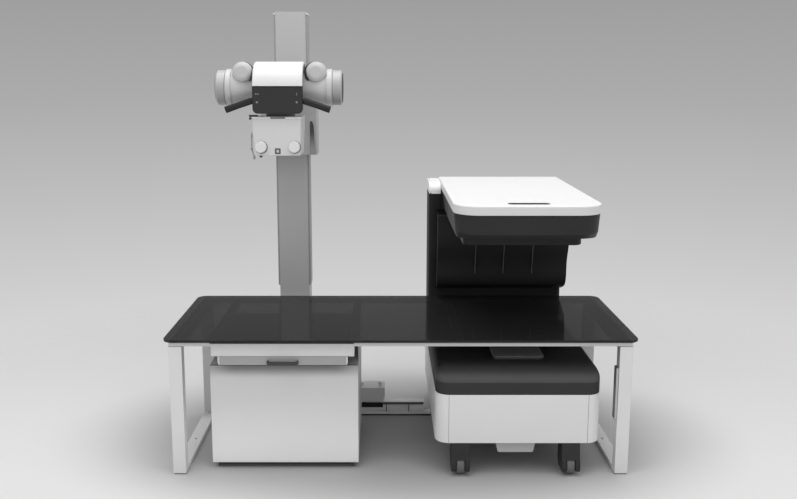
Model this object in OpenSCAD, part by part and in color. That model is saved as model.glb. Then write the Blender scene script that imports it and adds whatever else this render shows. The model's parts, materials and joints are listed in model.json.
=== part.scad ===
// Examination-room bone densitometer: a C-shaped scanning unit on casters
// closes round a patient table, with the table's image tray and its X-ray tube stand.
// X runs along the table, Y from the operator's side to the wall, Z up from the floor.
// Lengths named ..._v are measured back from the tabletop's front edge.

/* [Patient table] */
// Length of the tabletop
table_l = 2190; // [2100:10:2400]
// Width of the tabletop, front to back
table_w = 850; // [830:5:870]
// Height of the tabletop above the floor
table_h = 654; // [640:2:680]
// Thickness of the tabletop
top_t = 12; // [8:1:20]
// Corner radius of the tabletop in plan
top_r = 50; // [20:5:80]
// Height of the frame rails under the tabletop
apron_h = 18; // [14:1:24]
// Width of the frame rails
apron_w = 40; // [25:5:60]
// Inset of the frame from the tabletop's front and rear edges
apron_inset = 10; // [4:1:20]
// Width of a leg frame along the table
leg_w = 60; // [40:2:70]
// Depth of one leg, front to back
leg_d = 48; // [35:1:60]
// Distance from the tabletop's end to the leg frame
leg_end = 30; // [20:2:60]
// Distance from the tabletop's rear edge to the rear leg
leg_rear = 55; // [40:1:80]
// Height of the bars that close a leg frame
bar_h = 19; // [14:1:26]
// Thickness of the pads under the leg frames
pad_t = 5; // [3:1:8]
// Height of the hand-switch box on the right front leg
switch_box_h = 250; // [180:10:300]
// Thickness of the hand-switch box
switch_box_t = 12; // [8:1:20]

/* [Image tray and cabinet] */
// Distance from the table's centre to the cabinet's centre, to the left
cab_offset = 545; // [520:5:560]
// Width of the cabinet beyond the tray housing, on each side
cab_side = 16.5; // [10:0.5:20]
// Depth of the cabinet
cab_d = 572; // [520:4:600]
// Distance of the cabinet's front behind the tabletop's edge
cab_v = 78; // [70:1:100]
// Height of the recessed plinth
plinth_h = 30; // [20:1:50]
// Recess of the plinth behind the cabinet's faces
plinth_in = 22; // [10:1:40]
// Height of the cabinet's top shelf
cab_top = 510; // [480:2:515]
// Sheet thickness of the cabinet and the tray
sheet = 3; // [2:0.5:4]
// Thickness of the cabinet's front panel
front_panel_t = 18; // [12:1:25]
// Setback of the side walls' upper parts behind the cabinet's front
riser_in = 120; // [60:10:200]
// Width of the tray housing beyond the tray's front plate, on each side
housing_side = 33; // [26:1:38]
// Height of the tray housing
housing_h = 53.5; // [45:0.5:60]
// Depth of the tray housing
housing_d = 560; // [500:5:600]
// Distance of the tray housing's front behind the tabletop's edge
housing_v = 32; // [20:1:50]
// Width of the tray's front plate
tray_w = 595; // [560:1:600]
// Height of the tray's front plate
tray_h = 43; // [36:1:46]
// Thickness of the tray's front plate
tray_front_t = 12; // [8:1:20]
// Lower corner radius of the tray's front plate
tray_r = 14; // [6:1:20]
// Width of the tray handle
handle_w = 146; // [100:2:200]
// Thickness of the handle's bar
handle_t = 25; // [15:1:30]
// Reach of the handle in front of the tray
handle_reach = 24; // [22:1:28]
// Side of the square detector panel
detector_a = 430; // [350:10:450]
// Thickness of the detector panel
detector_t = 16; // [12:1:20]

/* [Floor rail and tube stand] */
// End of the floor rail, to the right of the table's centre
rail_end_x = 145; // [100:5:155]
// Distance of the rail behind the tabletop's front edge
rail_v = 770; // [765:1:790]
// Depth of the rail's body
rail_d = 58; // [50:2:80]
// Height of the rail
rail_h = 70; // [60:1:80]
// Distance from the table's centre to the column's centre, to the left
column_offset = 570; // [550:5:600]
// Width of the stand's column
column_w = 160; // [140:2:180]
// Depth of the stand's column
column_d = 170; // [150:2:200]
// Distance of the column's front behind the tabletop's front edge
column_v = 880; // [870:1:900]
// Height of the column's top above the floor
column_top = 2178; // [2100:2:2300]
// Wall of the column
column_wall = 6; // [4:1:10]
// Length of the carriage that runs on the rail
carriage_l = 575; // [500:5:600]
// Height of the carriage
carriage_h = 77; // [70:1:90]
// Length of the drive box beside the carriage
drive_l = 177; // [150:1:200]
// Depth of the drive box
drive_d = 120; // [100:2:130]
// Width of a guide rail on the column's side
guide_w = 9; // [8:1:16]
// Depth of a guide rail on the column's side
guide_d = 110; // [80:2:130]
// Height of a guide rail's lower end above the floor
guide_z0 = 707; // [690:1:760]
// Width of the counterweight inside the column
weight_w = 132; // [100:2:136]
// Height of the counterweight
weight_h = 300; // [200:10:350]
// Height of the counterweight's lower end above the floor
weight_z = 1150; // [1100:10:1200]

/* [Lift and tube head] */
// Width of the lift carriage
lift_w = 285; // [270:5:330]
// Height of the lift carriage
lift_h = 300; // [250:5:320]
// Height of the dark cover on the lift carriage's front
side_cover_h = 174; // [150:2:200]
// Height of the lift carriage's lower edge above the floor
lift_z = 1440; // [1400:5:1500]
// Distance from the table's centre to the tube head's centre, to the left
head_offset = 578; // [570:1:600]
// Height of the X-ray tube's axis above the floor
tube_z = 1789; // [1750:1:1850]
// Distance of the tube's axis behind the tabletop's front edge
tube_v = 425; // [400:5:440]
// Outer radius of the tube housing
tube_r = 89; // [84:1:92]
// Radius of the tube housing beside the head cover
tube_waist_r = 68; // [62:1:74]
// Length of the tube housing without its end caps
tube_l = 480; // [460:2:500]
// Length of one end cap
end_cap_l = 64; // [50:1:80]
// Radius of a cable receptacle
turret_r = 49; // [40:1:52]
// How much further out the right cable receptacle sits
turret_shift = 10; // [0:1:12]
// Width of the head cover and the control panel
cover_w = 237; // [232:1:244]
// Outer radius of the head cover
cover_r = 124; // [120:1:128]
// Wall of the head cover
cover_wall = 5; // [3:1:8]
// Height of the control panel
panel_h = 129; // [120:1:135]
// Thickness of the control panel
panel_t = 34; // [26:1:40]
// Radius of a handlebar
handlebar_r = 16; // [12:0.5:17]
// Length of a handlebar
handlebar_l = 132; // [120:2:160]
// Downward slope of the handlebars, in degrees
handlebar_slope = 19; // [10:1:25]

/* [Collimator] */
// Width of the collimator's top
coll_w = 244; // [230:1:250]
// Width of the collimator's bottom
coll_w2 = 219; // [206:1:226]
// Depth of the collimator
coll_d = 200; // [180:2:220]
// Height of the collimator
coll_h = 185; // [170:1:190]
// Radius of a shutter knob
knob_r = 28; // [20:1:30]
// Height of a shutter knob
knob_h = 22; // [16:1:28]
// Radius of a knob's shaft
knob_shaft_r = 5; // [4:0.5:7]
// Distance from the collimator's middle to a knob
knob_x = 79.5; // [70:0.5:82]
// Side of the square lamp button
button_a = 20; // [16:1:24]
// Travel of the lamp button
button_travel = 3; // [2:0.5:4]
// Length of the side lever
lever_l = 130; // [100:5:150]

/* [Densitometer base] */
// Distance from the tabletop's right end to the unit's centre
unit_end = 549; // [540:1:560]
// Width of the unit's base
base_w = 768; // [750:2:772]
// Distance of the base's front ahead of the tabletop's edge
base_front = 2; // [0:1:10]
// Distance of the unit's rear behind the tabletop's front edge
unit_rear_v = 1110; // [1090:5:1150]
// Ground clearance under the base's skirt
base_z = 160; // [150:1:170]
// Height of the base's skirt panels
skirt_h = 234; // [220:2:250]
// Wall of the base's skirt panels
skirt_t = 4; // [3:0.5:6]
// Plan radius of the base's front corners
base_r = 64; // [45:1:66]
// Width of the base's front panel
front_w = 646; // [620:1:650]
// Height of the base's top cover
deck_h = 116; // [110:1:122]
// Rounding of the top cover's upper side edges
deck_r = 52; // [30:2:54]
// Depth of the front edge's rounding, as a multiple of the sides'
deck_k = 2.5; // [1:0.1:3]
// Width of the raised source window
window_w = 246; // [200:2:260]
// Height of the raised source window above the top cover
window_h = 14; // [8:1:20]
// Distance of the source window's front behind the tabletop's edge
window_v = 164; // [150:2:220]
// Depth of the source window
window_d = 332; // [260:2:340]
// Depth of the cable box under the base
under_h = 58; // [40:1:64]
// Width of the cable box under the base
under_w = 190; // [160:2:220]

/* [Densitometer column and head] */
// Width of the unit's column
pillar_w = 730; // [716:2:740]
// Distance of the lower column's front behind the tabletop's front edge
pillar_v = 880; // [872:1:895]
// Distance of the column's bulge behind the tabletop's front edge
bulge_v = 736; // [720:1:760]
// Further reach of the column's upper part over the bulge
bulge_lean = 46; // [30:2:60]
// Height of the bulge's lower edge above the floor
bulge_z = 728; // [715:1:760]
// Drop of the bulge's underside from its front to the column
bulge_drop = 38; // [20:2:45]
// Height of the bulge's upright front
bulge_h = 140; // [120:2:160]
// Height over which the column leans forward above the bulge
lean_h = 104; // [90:2:140]
// Wall of the unit's plastic covers
cover_t = 4; // [3:0.5:6]
// Width of the head's lid
lid_w = 666; // [658:1:674]
// Sideways shift of the head from the unit's centre, to the right
head_shift = 20; // [18:1:22]
// Reach of the lid in front of the tabletop's front edge
lid_front = 65; // [50:5:90]
// Plan radius of the lid's front corners
lid_r = 115; // [90:5:130]
// Thickness of the lid
lid_t = 44; // [36:1:50]
// Height of the lid's top above the floor
lid_top = 1283; // [1260:1:1300]
// Inset of the head's housing under the lid
housing_in = 3; // [2:1:8]
// Height of the head's housing
head_h = 111; // [100:1:116]
// Rounding of the housing's lower edge
head_edge = 28; // [20:1:32]
// How far that edge comes in at the sides
head_side_in = 12; // [8:1:28]
// Draft of the housing's sides from top to bottom
head_draft = 7; // [2:1:10]
// Width of the head's lower cover
lower_w = 550; // [520:2:570]
// Height of the head's lower cover
lower_h = 61; // [50:1:70]
// Distance of the lower cover's front behind the tabletop's edge
lower_v = 150; // [130:5:180]
// Height of the shoulder cap at the column's top
shoulder_h = 68; // [60:1:80]

/* [Scanner] */
// Radius of a scan rod
rod_r = 8; // [6:0.5:10]
// Distance between the two rods of a pair
rod_gap = 140; // [120:5:160]
// Length of the scan carriages along the rods
scan_l = 130; // [110:5:160]
// Inset of the rods' ends from the base's sides
rod_in = 130; // [110:5:160]

/* [Casters] */
// Radius of a caster wheel
wheel_r = 50; // [44:1:52]
// Width of a caster wheel
wheel_w = 38; // [30:1:42]
// Width of a caster's hood
hood_w = 86; // [76:1:90]
// Trail of the wheel's axle from the swivel's axis
trail = 30; // [24:1:36]
// Radius of a caster's axle
axle_r = 6; // [5:0.5:8]
// Distance of a caster's swivel from the base's side
caster_in = 118; // [110:1:130]
// Extra distance of the right casters from their side
caster_shift = 18; // [0:1:24]
// Distance of the front swivels behind the tabletop's front edge
caster_front_v = 62; // [56:1:70]
// Distance of the rear swivels in front of the unit's rear
caster_rear = 120; // [100:5:150]

/* [Fits] */
// Radial clearance of a running fit
run_fit = 0.05; // [0.02:0.01:0.1]
// Gap between sliding or separate bodies
gap = 0.3; // [0.2:0.05:0.5]

/* [Hidden] */
$fn = 64;

// The whole part is centred front to back on the floor
mid_v = (unit_rear_v - lid_front) / 2;
frame_top = table_h - top_t;
frame_bottom = frame_top - apron_h;
leg_x1 = table_l / 2 - leg_end;
leg_x0 = leg_x1 - leg_w;
leg_back = table_w - leg_rear;
housing_w = tray_w + 2 * housing_side;
cab_w = housing_w + 2 * cab_side;
cab_x = -cab_offset;
cab_x0 = cab_x - cab_w / 2;
cab_x1 = cab_x + cab_w / 2;
cab_back = cab_v + cab_d;
housing_x = cab_x;
housing_z = frame_bottom - housing_h;
tray_z1 = housing_z - 0.6;
tray_z0 = tray_z1 - tray_h;
pan_w = tray_w - 16;
flange_z = tray_z1 - 10;
column_x = -column_offset;
carriage_z0 = rail_h + gap;
carriage_z1 = carriage_z0 + carriage_h;
carriage_x1 = column_x + carriage_l * 0.557;
lift_z1 = lift_z + lift_h;
lift_v = column_v - gap;
head_x = -head_offset;
coll_z1 = tube_z - cover_r - 11;
coll_z0 = coll_z1 - coll_h;
panel_z1 = tube_z + 9;
panel_v = tube_v - cover_r;
ux = table_l / 2 - unit_end;
base_x0 = ux - base_w / 2;
base_x1 = ux + base_w / 2;
skirt_top = base_z + skirt_h;
deck_top = skirt_top + deck_h;
deck_back = pillar_v - gap;
pillar_x0 = base_x0 + 6;
pillar_x1 = pillar_x0 + pillar_w;
pillar_r = 25;
bulge_x0 = pillar_x0 + 40;
bulge_r = 45;
head_cx = ux + head_shift;
lid_x0 = head_cx - lid_w / 2;
lid_x1 = lid_x0 + lid_w;
lid_z0 = lid_top - lid_t;
head_z0 = lid_z0 - head_h;
lower_z0 = head_z0 - lower_h;
lean_v = bulge_v - bulge_lean;
chassis_t = 12;
chassis_z = base_z + 2;
base_rod_z = skirt_top - 20;
head_rod_z = head_z0 + 42;
scan_v = window_v + 141;
beam_w = 40;
beam_x0 = base_x0 + 88;
beam_x1 = base_x1 - 88 - beam_w;
stem_r = 11;
// side -1 left, 1 right; end 0 front, 1 rear
function caster_x(side) = side < 0 ? base_x0 + caster_in : base_x1 - caster_in - caster_shift;
function caster_v(end) = end == 0 ? caster_front_v : unit_rear_v - caster_rear;

// ---- shapes that repeat ----

// Moves a shape from tabletop-edge coordinates into the part's own frame
module place() translate([0, -mid_v, 0]) children();

// Box between two corners
module box(a, b) translate(a) cube(b - a);

// Plan outline with its front and rear corners rounded, as squares and circles
module outline(x0, x1, v0, v1, rf, rr) {
  for (x = [[x0, 0], [x1, -1]]) {
    translate([x[0] + x[1] * 2 * rf + rf, v0 + rf]) circle(rf);
    translate([x[0] + x[1] * 2 * rr + rr, v1 - rr]) circle(rr);
  }
  translate([x0 + rf, v0]) square([x1 - x0 - 2 * rf, rf]);
  translate([x0 + rr, v1 - rr]) square([x1 - x0 - 2 * rr, rr]);
  translate([x0, v0 + rf]) square([x1 - x0, v1 - v0 - rf - rr]);
}

// Plate with a rounded plan outline
module plate(x0, x1, v0, v1, rf, rr, z0, z1)
  translate([0, 0, z0]) linear_extrude(z1 - z0) outline(x0, x1, v0, v1, rf, rr);

// Side profile in (v, z), extruded along X between x0 and x1
module profile_x(x0, x1, points)
  translate([x0, 0, 0]) rotate([90, 0, 90]) linear_extrude(x1 - x0) polygon(points);

// Front profile in (x, z), extruded back from v0 to v1
module profile_v(v0, v1, points)
  translate([0, v1, 0]) rotate([90, 0, 0]) linear_extrude(v1 - v0) polygon(points);

// Points of an arc round c, from angle a0 to a1
function arc(c, r, a0, a1, n = 12) =
  [for (i = [0:n]) let (a = a0 + (a1 - a0) * i / n) c + r * [cos(a), sin(a)]];

// Cylinder along X or V through a point
module rod_x(p, r, l) translate(p) rotate([0, 90, 0]) cylinder(h = l, r = r);
module rod_v(p, r, l) translate(p) rotate([-90, 0, 0]) cylinder(h = l, r = r);

// Plate whose upper side edges are rounded over by re, and its front edge k times deeper
module soft_plate(x0, x1, v0, v1, r, z0, z1, re, k) {
  hull() {
    plate(x0, x1, v0, v1, r, 3, z0, z1 - re);
    for (i = [1:5]) let (a = 18 * i, d = re * (1 - cos(a)))
      plate(x0 + d, x1 - d, v0 + k * d, v1, max(r - d, 2), 3, z1 - re, z1 - re + re * sin(a));
  }
}

// ---- patient table ----

module table_top() color([0.22, 0.22, 0.23]) place()
  plate(-table_l / 2, table_l / 2, 0, table_w, top_r, top_r, frame_top, table_h);

module top_frame() color([0.78, 0.78, 0.78]) place() {
  x = leg_x1;
  v1 = table_w - apron_inset;
  difference() {
    plate(-x, x, apron_inset, v1, 4, 4, frame_bottom, frame_top);
    box([-x + apron_w, apron_inset + apron_w, frame_bottom - 1],
        [x - apron_w, v1 - apron_w, frame_top + 1]);
  }
  for (cx = [cab_x0 + apron_w / 2, cab_x1 - apron_w / 2, leg_x0 - table_l / 3])
    box([cx - apron_w / 2, apron_inset + apron_w, frame_bottom],
        [cx + apron_w / 2, v1 - apron_w, frame_top]);
}

module leg_loop() difference() {
  box([leg_x0, apron_inset, pad_t], [leg_x1, leg_back, frame_bottom]);
  box([leg_x0 - 1, apron_inset + leg_d, pad_t + bar_h],
      [leg_x1 + 1, leg_back - leg_d, frame_bottom - bar_h]);
}

module leg_frames() color([0.8, 0.8, 0.8]) place()
  for (m = [0, 1]) mirror([m, 0, 0]) leg_loop();

module leg_pads() color([0.12, 0.12, 0.12]) place()
  for (m = [0, 1]) mirror([m, 0, 0])
    for (v = [apron_inset + 4, leg_back - leg_d + 4])
      box([leg_x0 + 5, v, 0], [leg_x1 - 5, v + leg_d - 8, pad_t]);

module frame_screws() color([0.6, 0.6, 0.62]) place()
  for (m = [0, 1]) mirror([m, 0, 0])
    for (v = [leg_back * 0.47, leg_back * 0.92])
      translate([leg_x0 + leg_w / 2, v, pad_t + bar_h]) cylinder(h = 2.4, r = 5.5);

module hand_switch_box() color([0.55, 0.55, 0.56]) place()
  box([leg_x0 - switch_box_t, apron_inset + 2, frame_bottom - 104 - switch_box_h],
      [leg_x0, apron_inset + leg_d - 4, frame_bottom - 104]);

// ---- image tray and cabinet ----

module tray_housing() color([0.8, 0.8, 0.8]) place() difference() {
  box([housing_x - housing_w / 2, housing_v, housing_z],
      [housing_x + housing_w / 2, housing_v + housing_d, frame_bottom]);
  box([housing_x - housing_w / 2 + sheet, housing_v + sheet, housing_z - 1],
      [housing_x + housing_w / 2 - sheet, housing_v + housing_d - sheet,
       frame_bottom - sheet]);
}

module anti_scatter_grid() color([0.5, 0.5, 0.52]) place()
  box([housing_x - detector_a / 2 - 12, housing_v + 50, frame_bottom - sheet - 8],
      [housing_x + detector_a / 2 + 12, housing_v + detector_a + 74, frame_bottom - sheet]);

// Channel on each side that carries the tray's flanges
module tray_runners() color([0.6, 0.6, 0.62]) place()
  translate([housing_x, 0, 0]) {
    runner(-1);
    runner(1);
  }

module runner(m) {
  wall = housing_w / 2 - sheet;
  lip = pan_w / 2 + 4;
  v0 = housing_v + tray_front_t + 30;
  v1 = housing_v + housing_d - sheet;
  z0 = flange_z - sheet - 4;
  xs = m > 0 ? [wall - sheet, wall] : [-wall, -wall + sheet];
  xl = m > 0 ? [lip, wall] : [-wall, -lip];
  box([xs[0], v0, z0], [xs[1], v1, housing_z + 24]);
  box([xl[0], v0, z0], [xl[1], v1, flange_z - gap]);
  box([xl[0], v0, flange_z + sheet + gap], [xl[1], v1, flange_z + 2 * sheet + gap]);
}

module cabinet_body() color([0.78, 0.78, 0.78]) place() {
  v0 = cab_v + front_panel_t;
  for (x = [cab_x0, cab_x1 - sheet]) {
    box([x, v0, plinth_h], [x + sheet, cab_back, cab_top]);
    box([x, cab_v + riser_in, cab_top - 1], [x + sheet, cab_back, frame_bottom]);
  }
  box([cab_x0, v0, plinth_h], [cab_x1, cab_back, plinth_h + sheet]);
  box([cab_x0, v0, cab_top - sheet], [cab_x1, cab_back, cab_top]);
  box([cab_x0, cab_back - sheet, plinth_h], [cab_x1, cab_back, cab_top]);
}

module cabinet_front_panel() color([0.8, 0.8, 0.8]) place()
  box([cab_x0, cab_v, plinth_h], [cab_x1, cab_v + front_panel_t, cab_top]);

module cabinet_plinth() color([0.12, 0.12, 0.12]) place() difference() {
  box([cab_x0 + plinth_in, cab_v + plinth_in, 0],
      [cab_x1 - plinth_in, cab_back - plinth_in, plinth_h]);
  box([cab_x0 + plinth_in + 30, cab_v + plinth_in + 30, -1],
      [cab_x1 - plinth_in - 30, cab_back - plinth_in - 30, plinth_h - sheet]);
}

module generator_unit() color([0.35, 0.36, 0.38]) place() {
  z0 = plinth_h + sheet;
  difference() {
    box([cab_x0 + 90, cab_v + 90, z0], [cab_x1 - 90, cab_back - 90, cab_top - 90]);
    box([cab_x0 + 94, cab_v + 94, z0 + 4], [cab_x1 - 94, cab_back - 94, cab_top - 94]);
  }
  for (x = [cab_x0 + 200, cab_x1 - 200])
    translate([x, cab_v + cab_d / 2, cab_top - 91]) cylinder(h = 50, r = 32);
}

module image_tray() color([0.72, 0.72, 0.73]) place() translate([housing_x, 0, 0]) {
  w = tray_w / 2;
  v0 = housing_v;
  pan_v = v0 + tray_front_t;
  pan_end = housing_v + housing_d - 40;
  profile_v(v0, pan_v, concat(
    [[w, tray_z1], [-w, tray_z1]],
    arc([-w + tray_r, tray_z0 + tray_r], tray_r, 180, 270),
    arc([w - tray_r, tray_z0 + tray_r], tray_r, 270, 360)));
  difference() {
    box([-pan_w / 2, pan_v - 1, tray_z0 + 5], [pan_w / 2, pan_end, flange_z + sheet]);
    box([-pan_w / 2 + sheet, pan_v, tray_z0 + 5 + sheet],
        [pan_w / 2 - sheet, pan_end - sheet, flange_z + sheet + 1]);
  }
  for (x = [-pan_w / 2 - 17, pan_w / 2 - 1])
    box([x, pan_v + 30, flange_z], [x + 18, pan_end, flange_z + sheet]);
}

module tray_handle() color([0.18, 0.18, 0.19]) place() {
  x = housing_x;
  z = tray_z0 + 2;
  difference() {
    plate(x - handle_w / 2, x + handle_w / 2, housing_v - handle_reach, housing_v, 7, 1,
          z, z + handle_t);
    plate(x - handle_w / 2 + 9, x + handle_w / 2 - 9, housing_v - handle_reach + 9,
          housing_v + 5, 4, 1, z - 1, z + handle_t + 1);
  }
}

module detector_panel() color([0.16, 0.16, 0.18]) place()
  box([housing_x - detector_a / 2, housing_v + 60, tray_z0 + 5 + sheet],
      [housing_x + detector_a / 2, housing_v + 60 + detector_a,
       tray_z0 + 5 + sheet + detector_t]);

// ---- floor rail and tube stand ----

module floor_rail() color([0.42, 0.42, 0.43]) place() {
  x0 = -leg_x0;
  base_v = rail_v - 5;
  profile_x(x0, rail_end_x, [
    [base_v, 4], [rail_v + rail_d + 60, 4], [rail_v + rail_d + 60, 14],
    [rail_v + rail_d, 18], [rail_v + rail_d, rail_h - 14], [rail_v + rail_d + 4, rail_h - 14],
    [rail_v + rail_d + 4, rail_h], [rail_v + 2, rail_h], [rail_v + 2, rail_h - 14],
    [rail_v + 10, rail_h - 14], [rail_v + 10, 20], [base_v, 16]]);
  for (i = [0:5])
    translate([x0 + 40 + i * (rail_end_x - x0 - 80) / 5, rail_v + rail_d / 2 + 20, 0])
      cylinder(h = 5, r = 18);
}

module stand_carriage() color([0.5, 0.5, 0.51]) place() {
  v0 = rail_v + 10;
  v1 = column_v + column_d + 10;
  x0 = carriage_x1 - carriage_l;
  difference() {
    box([x0, v0, carriage_z0], [carriage_x1, v1, carriage_z1]);
    box([x0 + 6, rail_v + rail_d + 20, carriage_z0 - 1],
        [carriage_x1 - 6, v1 - 6, carriage_z1 - 10]);
  }
  // keeper that hooks down behind the rail
  box([x0 + 40, rail_v + rail_d + 4 + gap, rail_h - 40],
      [carriage_x1 - 40, rail_v + rail_d + 30, carriage_z0 + 1]);
}

module drive_box() color([0.45, 0.45, 0.46]) place() {
  x0 = carriage_x1;
  x1 = x0 + drive_l;
  v0 = rail_v + 10;
  z0 = carriage_z0 + 1;
  profile_v(v0, v0 + drive_d,
    [[x0, z0], [x1 - 22, z0], [x1, z0 + 24], [x1, carriage_z1], [x0, carriage_z1]]);
  for (x = [x1 - 27, x1 - 127])
    translate([x, v0 + drive_d * 0.35, carriage_z1]) {
      cylinder(h = 6, r = 5);
      translate([0, 0, 6]) cylinder(h = 14, r = 8.5);
    }
}

module stand_column() color([0.68, 0.68, 0.68]) place() {
  x0 = column_x - column_w / 2;
  v1 = column_v + column_d;
  difference() {
    box([x0, column_v, carriage_z1], [x0 + column_w, v1, column_top]);
    box([x0 + column_wall, column_v + column_wall, carriage_z1 + 10],
        [x0 + column_w - column_wall, v1 - column_wall, column_top - 8]);
  }
}

module guide_rails() color([0.5, 0.5, 0.5]) place()
  for (x = [column_x - column_w / 2 - guide_w, column_x + column_w / 2])
    box([x, column_v + 6, guide_z0], [x + guide_w, column_v + 6 + guide_d, column_top - 14]);

module counterweight() color([0.3, 0.3, 0.32]) place()
  box([column_x - weight_w / 2, column_v + column_wall + gap, weight_z],
      [column_x + weight_w / 2, column_v + column_d - column_wall - 30, weight_z + weight_h]);

// ---- lift and tube head ----

trunnion_r = 52;
pivot_r = 22;
turret_up = 74;
turret_v = tube_v - 92;
turret_h = 99;
rib_x = 95;
rib_t = 8;
cover_skirt = 60;
trunnion_v = tube_v + cover_r + 52;
boss_v = trunnion_v - gap;

module lift_carriage() color([0.74, 0.74, 0.74]) place() {
  x0 = column_x - lift_w / 2;
  x1 = column_x + lift_w / 2;
  rail_in = column_w / 2 + guide_w + gap;
  cheek = rail_in + 26;
  back_v = column_v + guide_d - 10;
  front_v = trunnion_v + 100;
  profile_x(x0, x1, [[front_v + 26, lift_z], [lift_v, lift_z], [lift_v, lift_z1],
                     [front_v, lift_z1]]);
  // cheeks that run on the guide rails
  for (s = [[-cheek, -rail_in], [rail_in, cheek]])
    box([column_x + s[0], lift_v - 1, lift_z], [column_x + s[1], back_v, lift_z1]);
  // upright plate and the trunnion that carries the tube
  box([head_x - 70, front_v, lift_z1 - 1], [head_x + 70, front_v + 60, tube_z + 74]);
  rod_v([head_x, trunnion_v, tube_z], trunnion_r, front_v - trunnion_v + 1);
  rod_v([head_x, trunnion_v - 60, tube_z], pivot_r, 61);
}

// Dark wedge-shaped cover on the right of the carriage's front
module lift_side_cover() color([0.3, 0.3, 0.3]) place() {
  x1 = column_x + lift_w / 2;
  front_v = trunnion_v + 100;
  z = lift_z + side_cover_h;
  intersection() {
    profile_v(front_v - 5, front_v + 40, [[x1 - 35, lift_z + 6], [x1 - 6, lift_z + 6],
      [x1 - 15, z - 18], [x1 - 22, z], [x1 - 32, z]]);
    profile_x(x1 - 70, x1, [[front_v - 4, lift_z1], [front_v - gap, lift_z1],
      [front_v - gap + 26, lift_z], [front_v - 4 + 26, lift_z]]);
  }
}

// Half profile of the tube housing, turned about the tube's axis
module tube_housing() color([0.85, 0.85, 0.85]) place() {
  h = tube_l / 2;
  ring = 26;
  difference() {
    union() {
      translate([head_x, tube_v, tube_z]) rotate([0, 90, 0]) rotate_extrude()
        polygon([[0, -h], [tube_r + 1, -h], [tube_r + 1, -h + ring], [tube_r - 7, -h + ring + 2],
                 [tube_waist_r, -cover_w / 2 - 8], [tube_waist_r, cover_w / 2 + 8],
                 [tube_r - 7, h - ring - 2], [tube_r + 1, h - ring], [tube_r + 1, h], [0, h]]);
      // cable receptacles
      for (s = [-1, 1])
        translate([head_x + s * (cover_w / 2 + turret_r + 2) + (s > 0 ? turret_shift : 0),
                   turret_v, tube_z + turret_up])
          rotate([-90, 0, 0]) rotate_extrude() polygon(concat([[0, 0]],
            arc([turret_r - 20, 20], 20, -90, 0, 6), [[turret_r, turret_h], [0, turret_h]]));
      // ribs that carry the head cover
      for (x = [-rib_x - rib_t, rib_x]) intersection() {
        rod_x([head_x + x, tube_v, tube_z], cover_r - cover_wall - gap, rib_t);
        box([head_x - cover_w, tube_v - cover_r, panel_z1 + gap],
            [head_x + cover_w, tube_v + cover_r, tube_z + cover_r]);
      }
      // boss behind, with the bore for the pivot
      rod_v([head_x, tube_v + 20, tube_z], trunnion_r, boss_v - tube_v - 20);
      // port below, where the collimator turns
      translate([head_x, tube_v, coll_z1 + gap]) cylinder(h = tube_z - coll_z1 - 40, r = 66);
    }
    rod_x([head_x - h + 8, tube_v, tube_z], tube_waist_r - 10, 2 * h - 16);
    rod_v([head_x, trunnion_v - 61, tube_z], pivot_r + run_fit, 70);
  }
}

module tube_end_caps() color([0.85, 0.85, 0.85]) place()
  for (s = [-1, 1]) translate([head_x, tube_v, tube_z]) rotate([0, 90 * s, 0])
    translate([0, 0, tube_l / 2]) rotate_extrude()
      polygon(concat([[0, 0], [tube_r - 5, 0]],
        arc([tube_r - 5 - 18, end_cap_l - 18], 18, 0, 90, 8), [[0, end_cap_l]]));

module head_cover() color([0.96, 0.96, 0.96]) place() translate([head_x, tube_v, tube_z])
  difference() {
    rim = panel_z1 - tube_z + gap;
    inner_r = cover_r - cover_wall;
    profile_x(-cover_w / 2, cover_w / 2, concat(
      arc([0, 0], cover_r, 180 - asin(rim / cover_r), 0, 24),
      [[cover_r, -cover_skirt], [inner_r, -cover_skirt]],
      arc([0, 0], inner_r, 0, 180 - asin(rim / inner_r), 24)));
    // relief for the boss behind
    rod_v([0, 0, 0], trunnion_r + 4, 200);
  }

module control_panel() color([0.2, 0.2, 0.21]) place() {
  x0 = head_x - cover_w / 2;
  x1 = head_x + cover_w / 2;
  z0 = panel_z1 - panel_h;
  r = 25;
  profile_v(panel_v, panel_v + panel_t, concat([[x1, panel_z1], [x0, panel_z1]],
    arc([x0 + r, z0 + r], r, 180, 270), arc([x1 - r, z0 + r], r, 270, 360)));
  // bracket back to the tube housing
  difference() {
    box([head_x - 45, panel_v + panel_t - 1, tube_z - 30],
        [head_x + 45, tube_v - tube_waist_r + 12, tube_z + 4]);
    rod_x([head_x - 60, tube_v, tube_z], tube_waist_r, 120);
  }
}

module handlebars() color([0.13, 0.13, 0.13]) place()
  for (m = [0, 1]) translate([head_x, panel_v + panel_t / 2, panel_z1 - 67])
    mirror([m, 0, 0]) translate([cover_w / 2, 0, 0]) difference() {
      rotate([0, 90 + handlebar_slope, 0]) translate([0, 0, -handlebar_r])
        cylinder(h = handlebar_l + handlebar_r, r = handlebar_r);
      box([-60, -40, -40], [0, 40, 60]);
    }

// ---- collimator ----

coll_front = tube_v - coll_d / 2;
coll_wall = 5;
knob_z = coll_z0 + 42;
button_z = coll_z0 + 12;
lever_v = coll_front + 30;
lever_z = coll_z0 + lever_l - 40;
coll_x = head_x - 5;
lever_x = coll_x - coll_w / 2 - 8;
lever_t = 5;
beam_a = 120;

// Tapered box of the collimator, set in by t on every side
module coll_box(t) profile_v(coll_front + t, coll_front + coll_d - t, [
  [coll_x - coll_w2 / 2 + t, coll_z0 + t], [coll_x + coll_w2 / 2 - t, coll_z0 + t],
  [coll_x + coll_w / 2 - t, coll_z1 - t], [coll_x - coll_w / 2 + t, coll_z1 - t]]);

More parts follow.
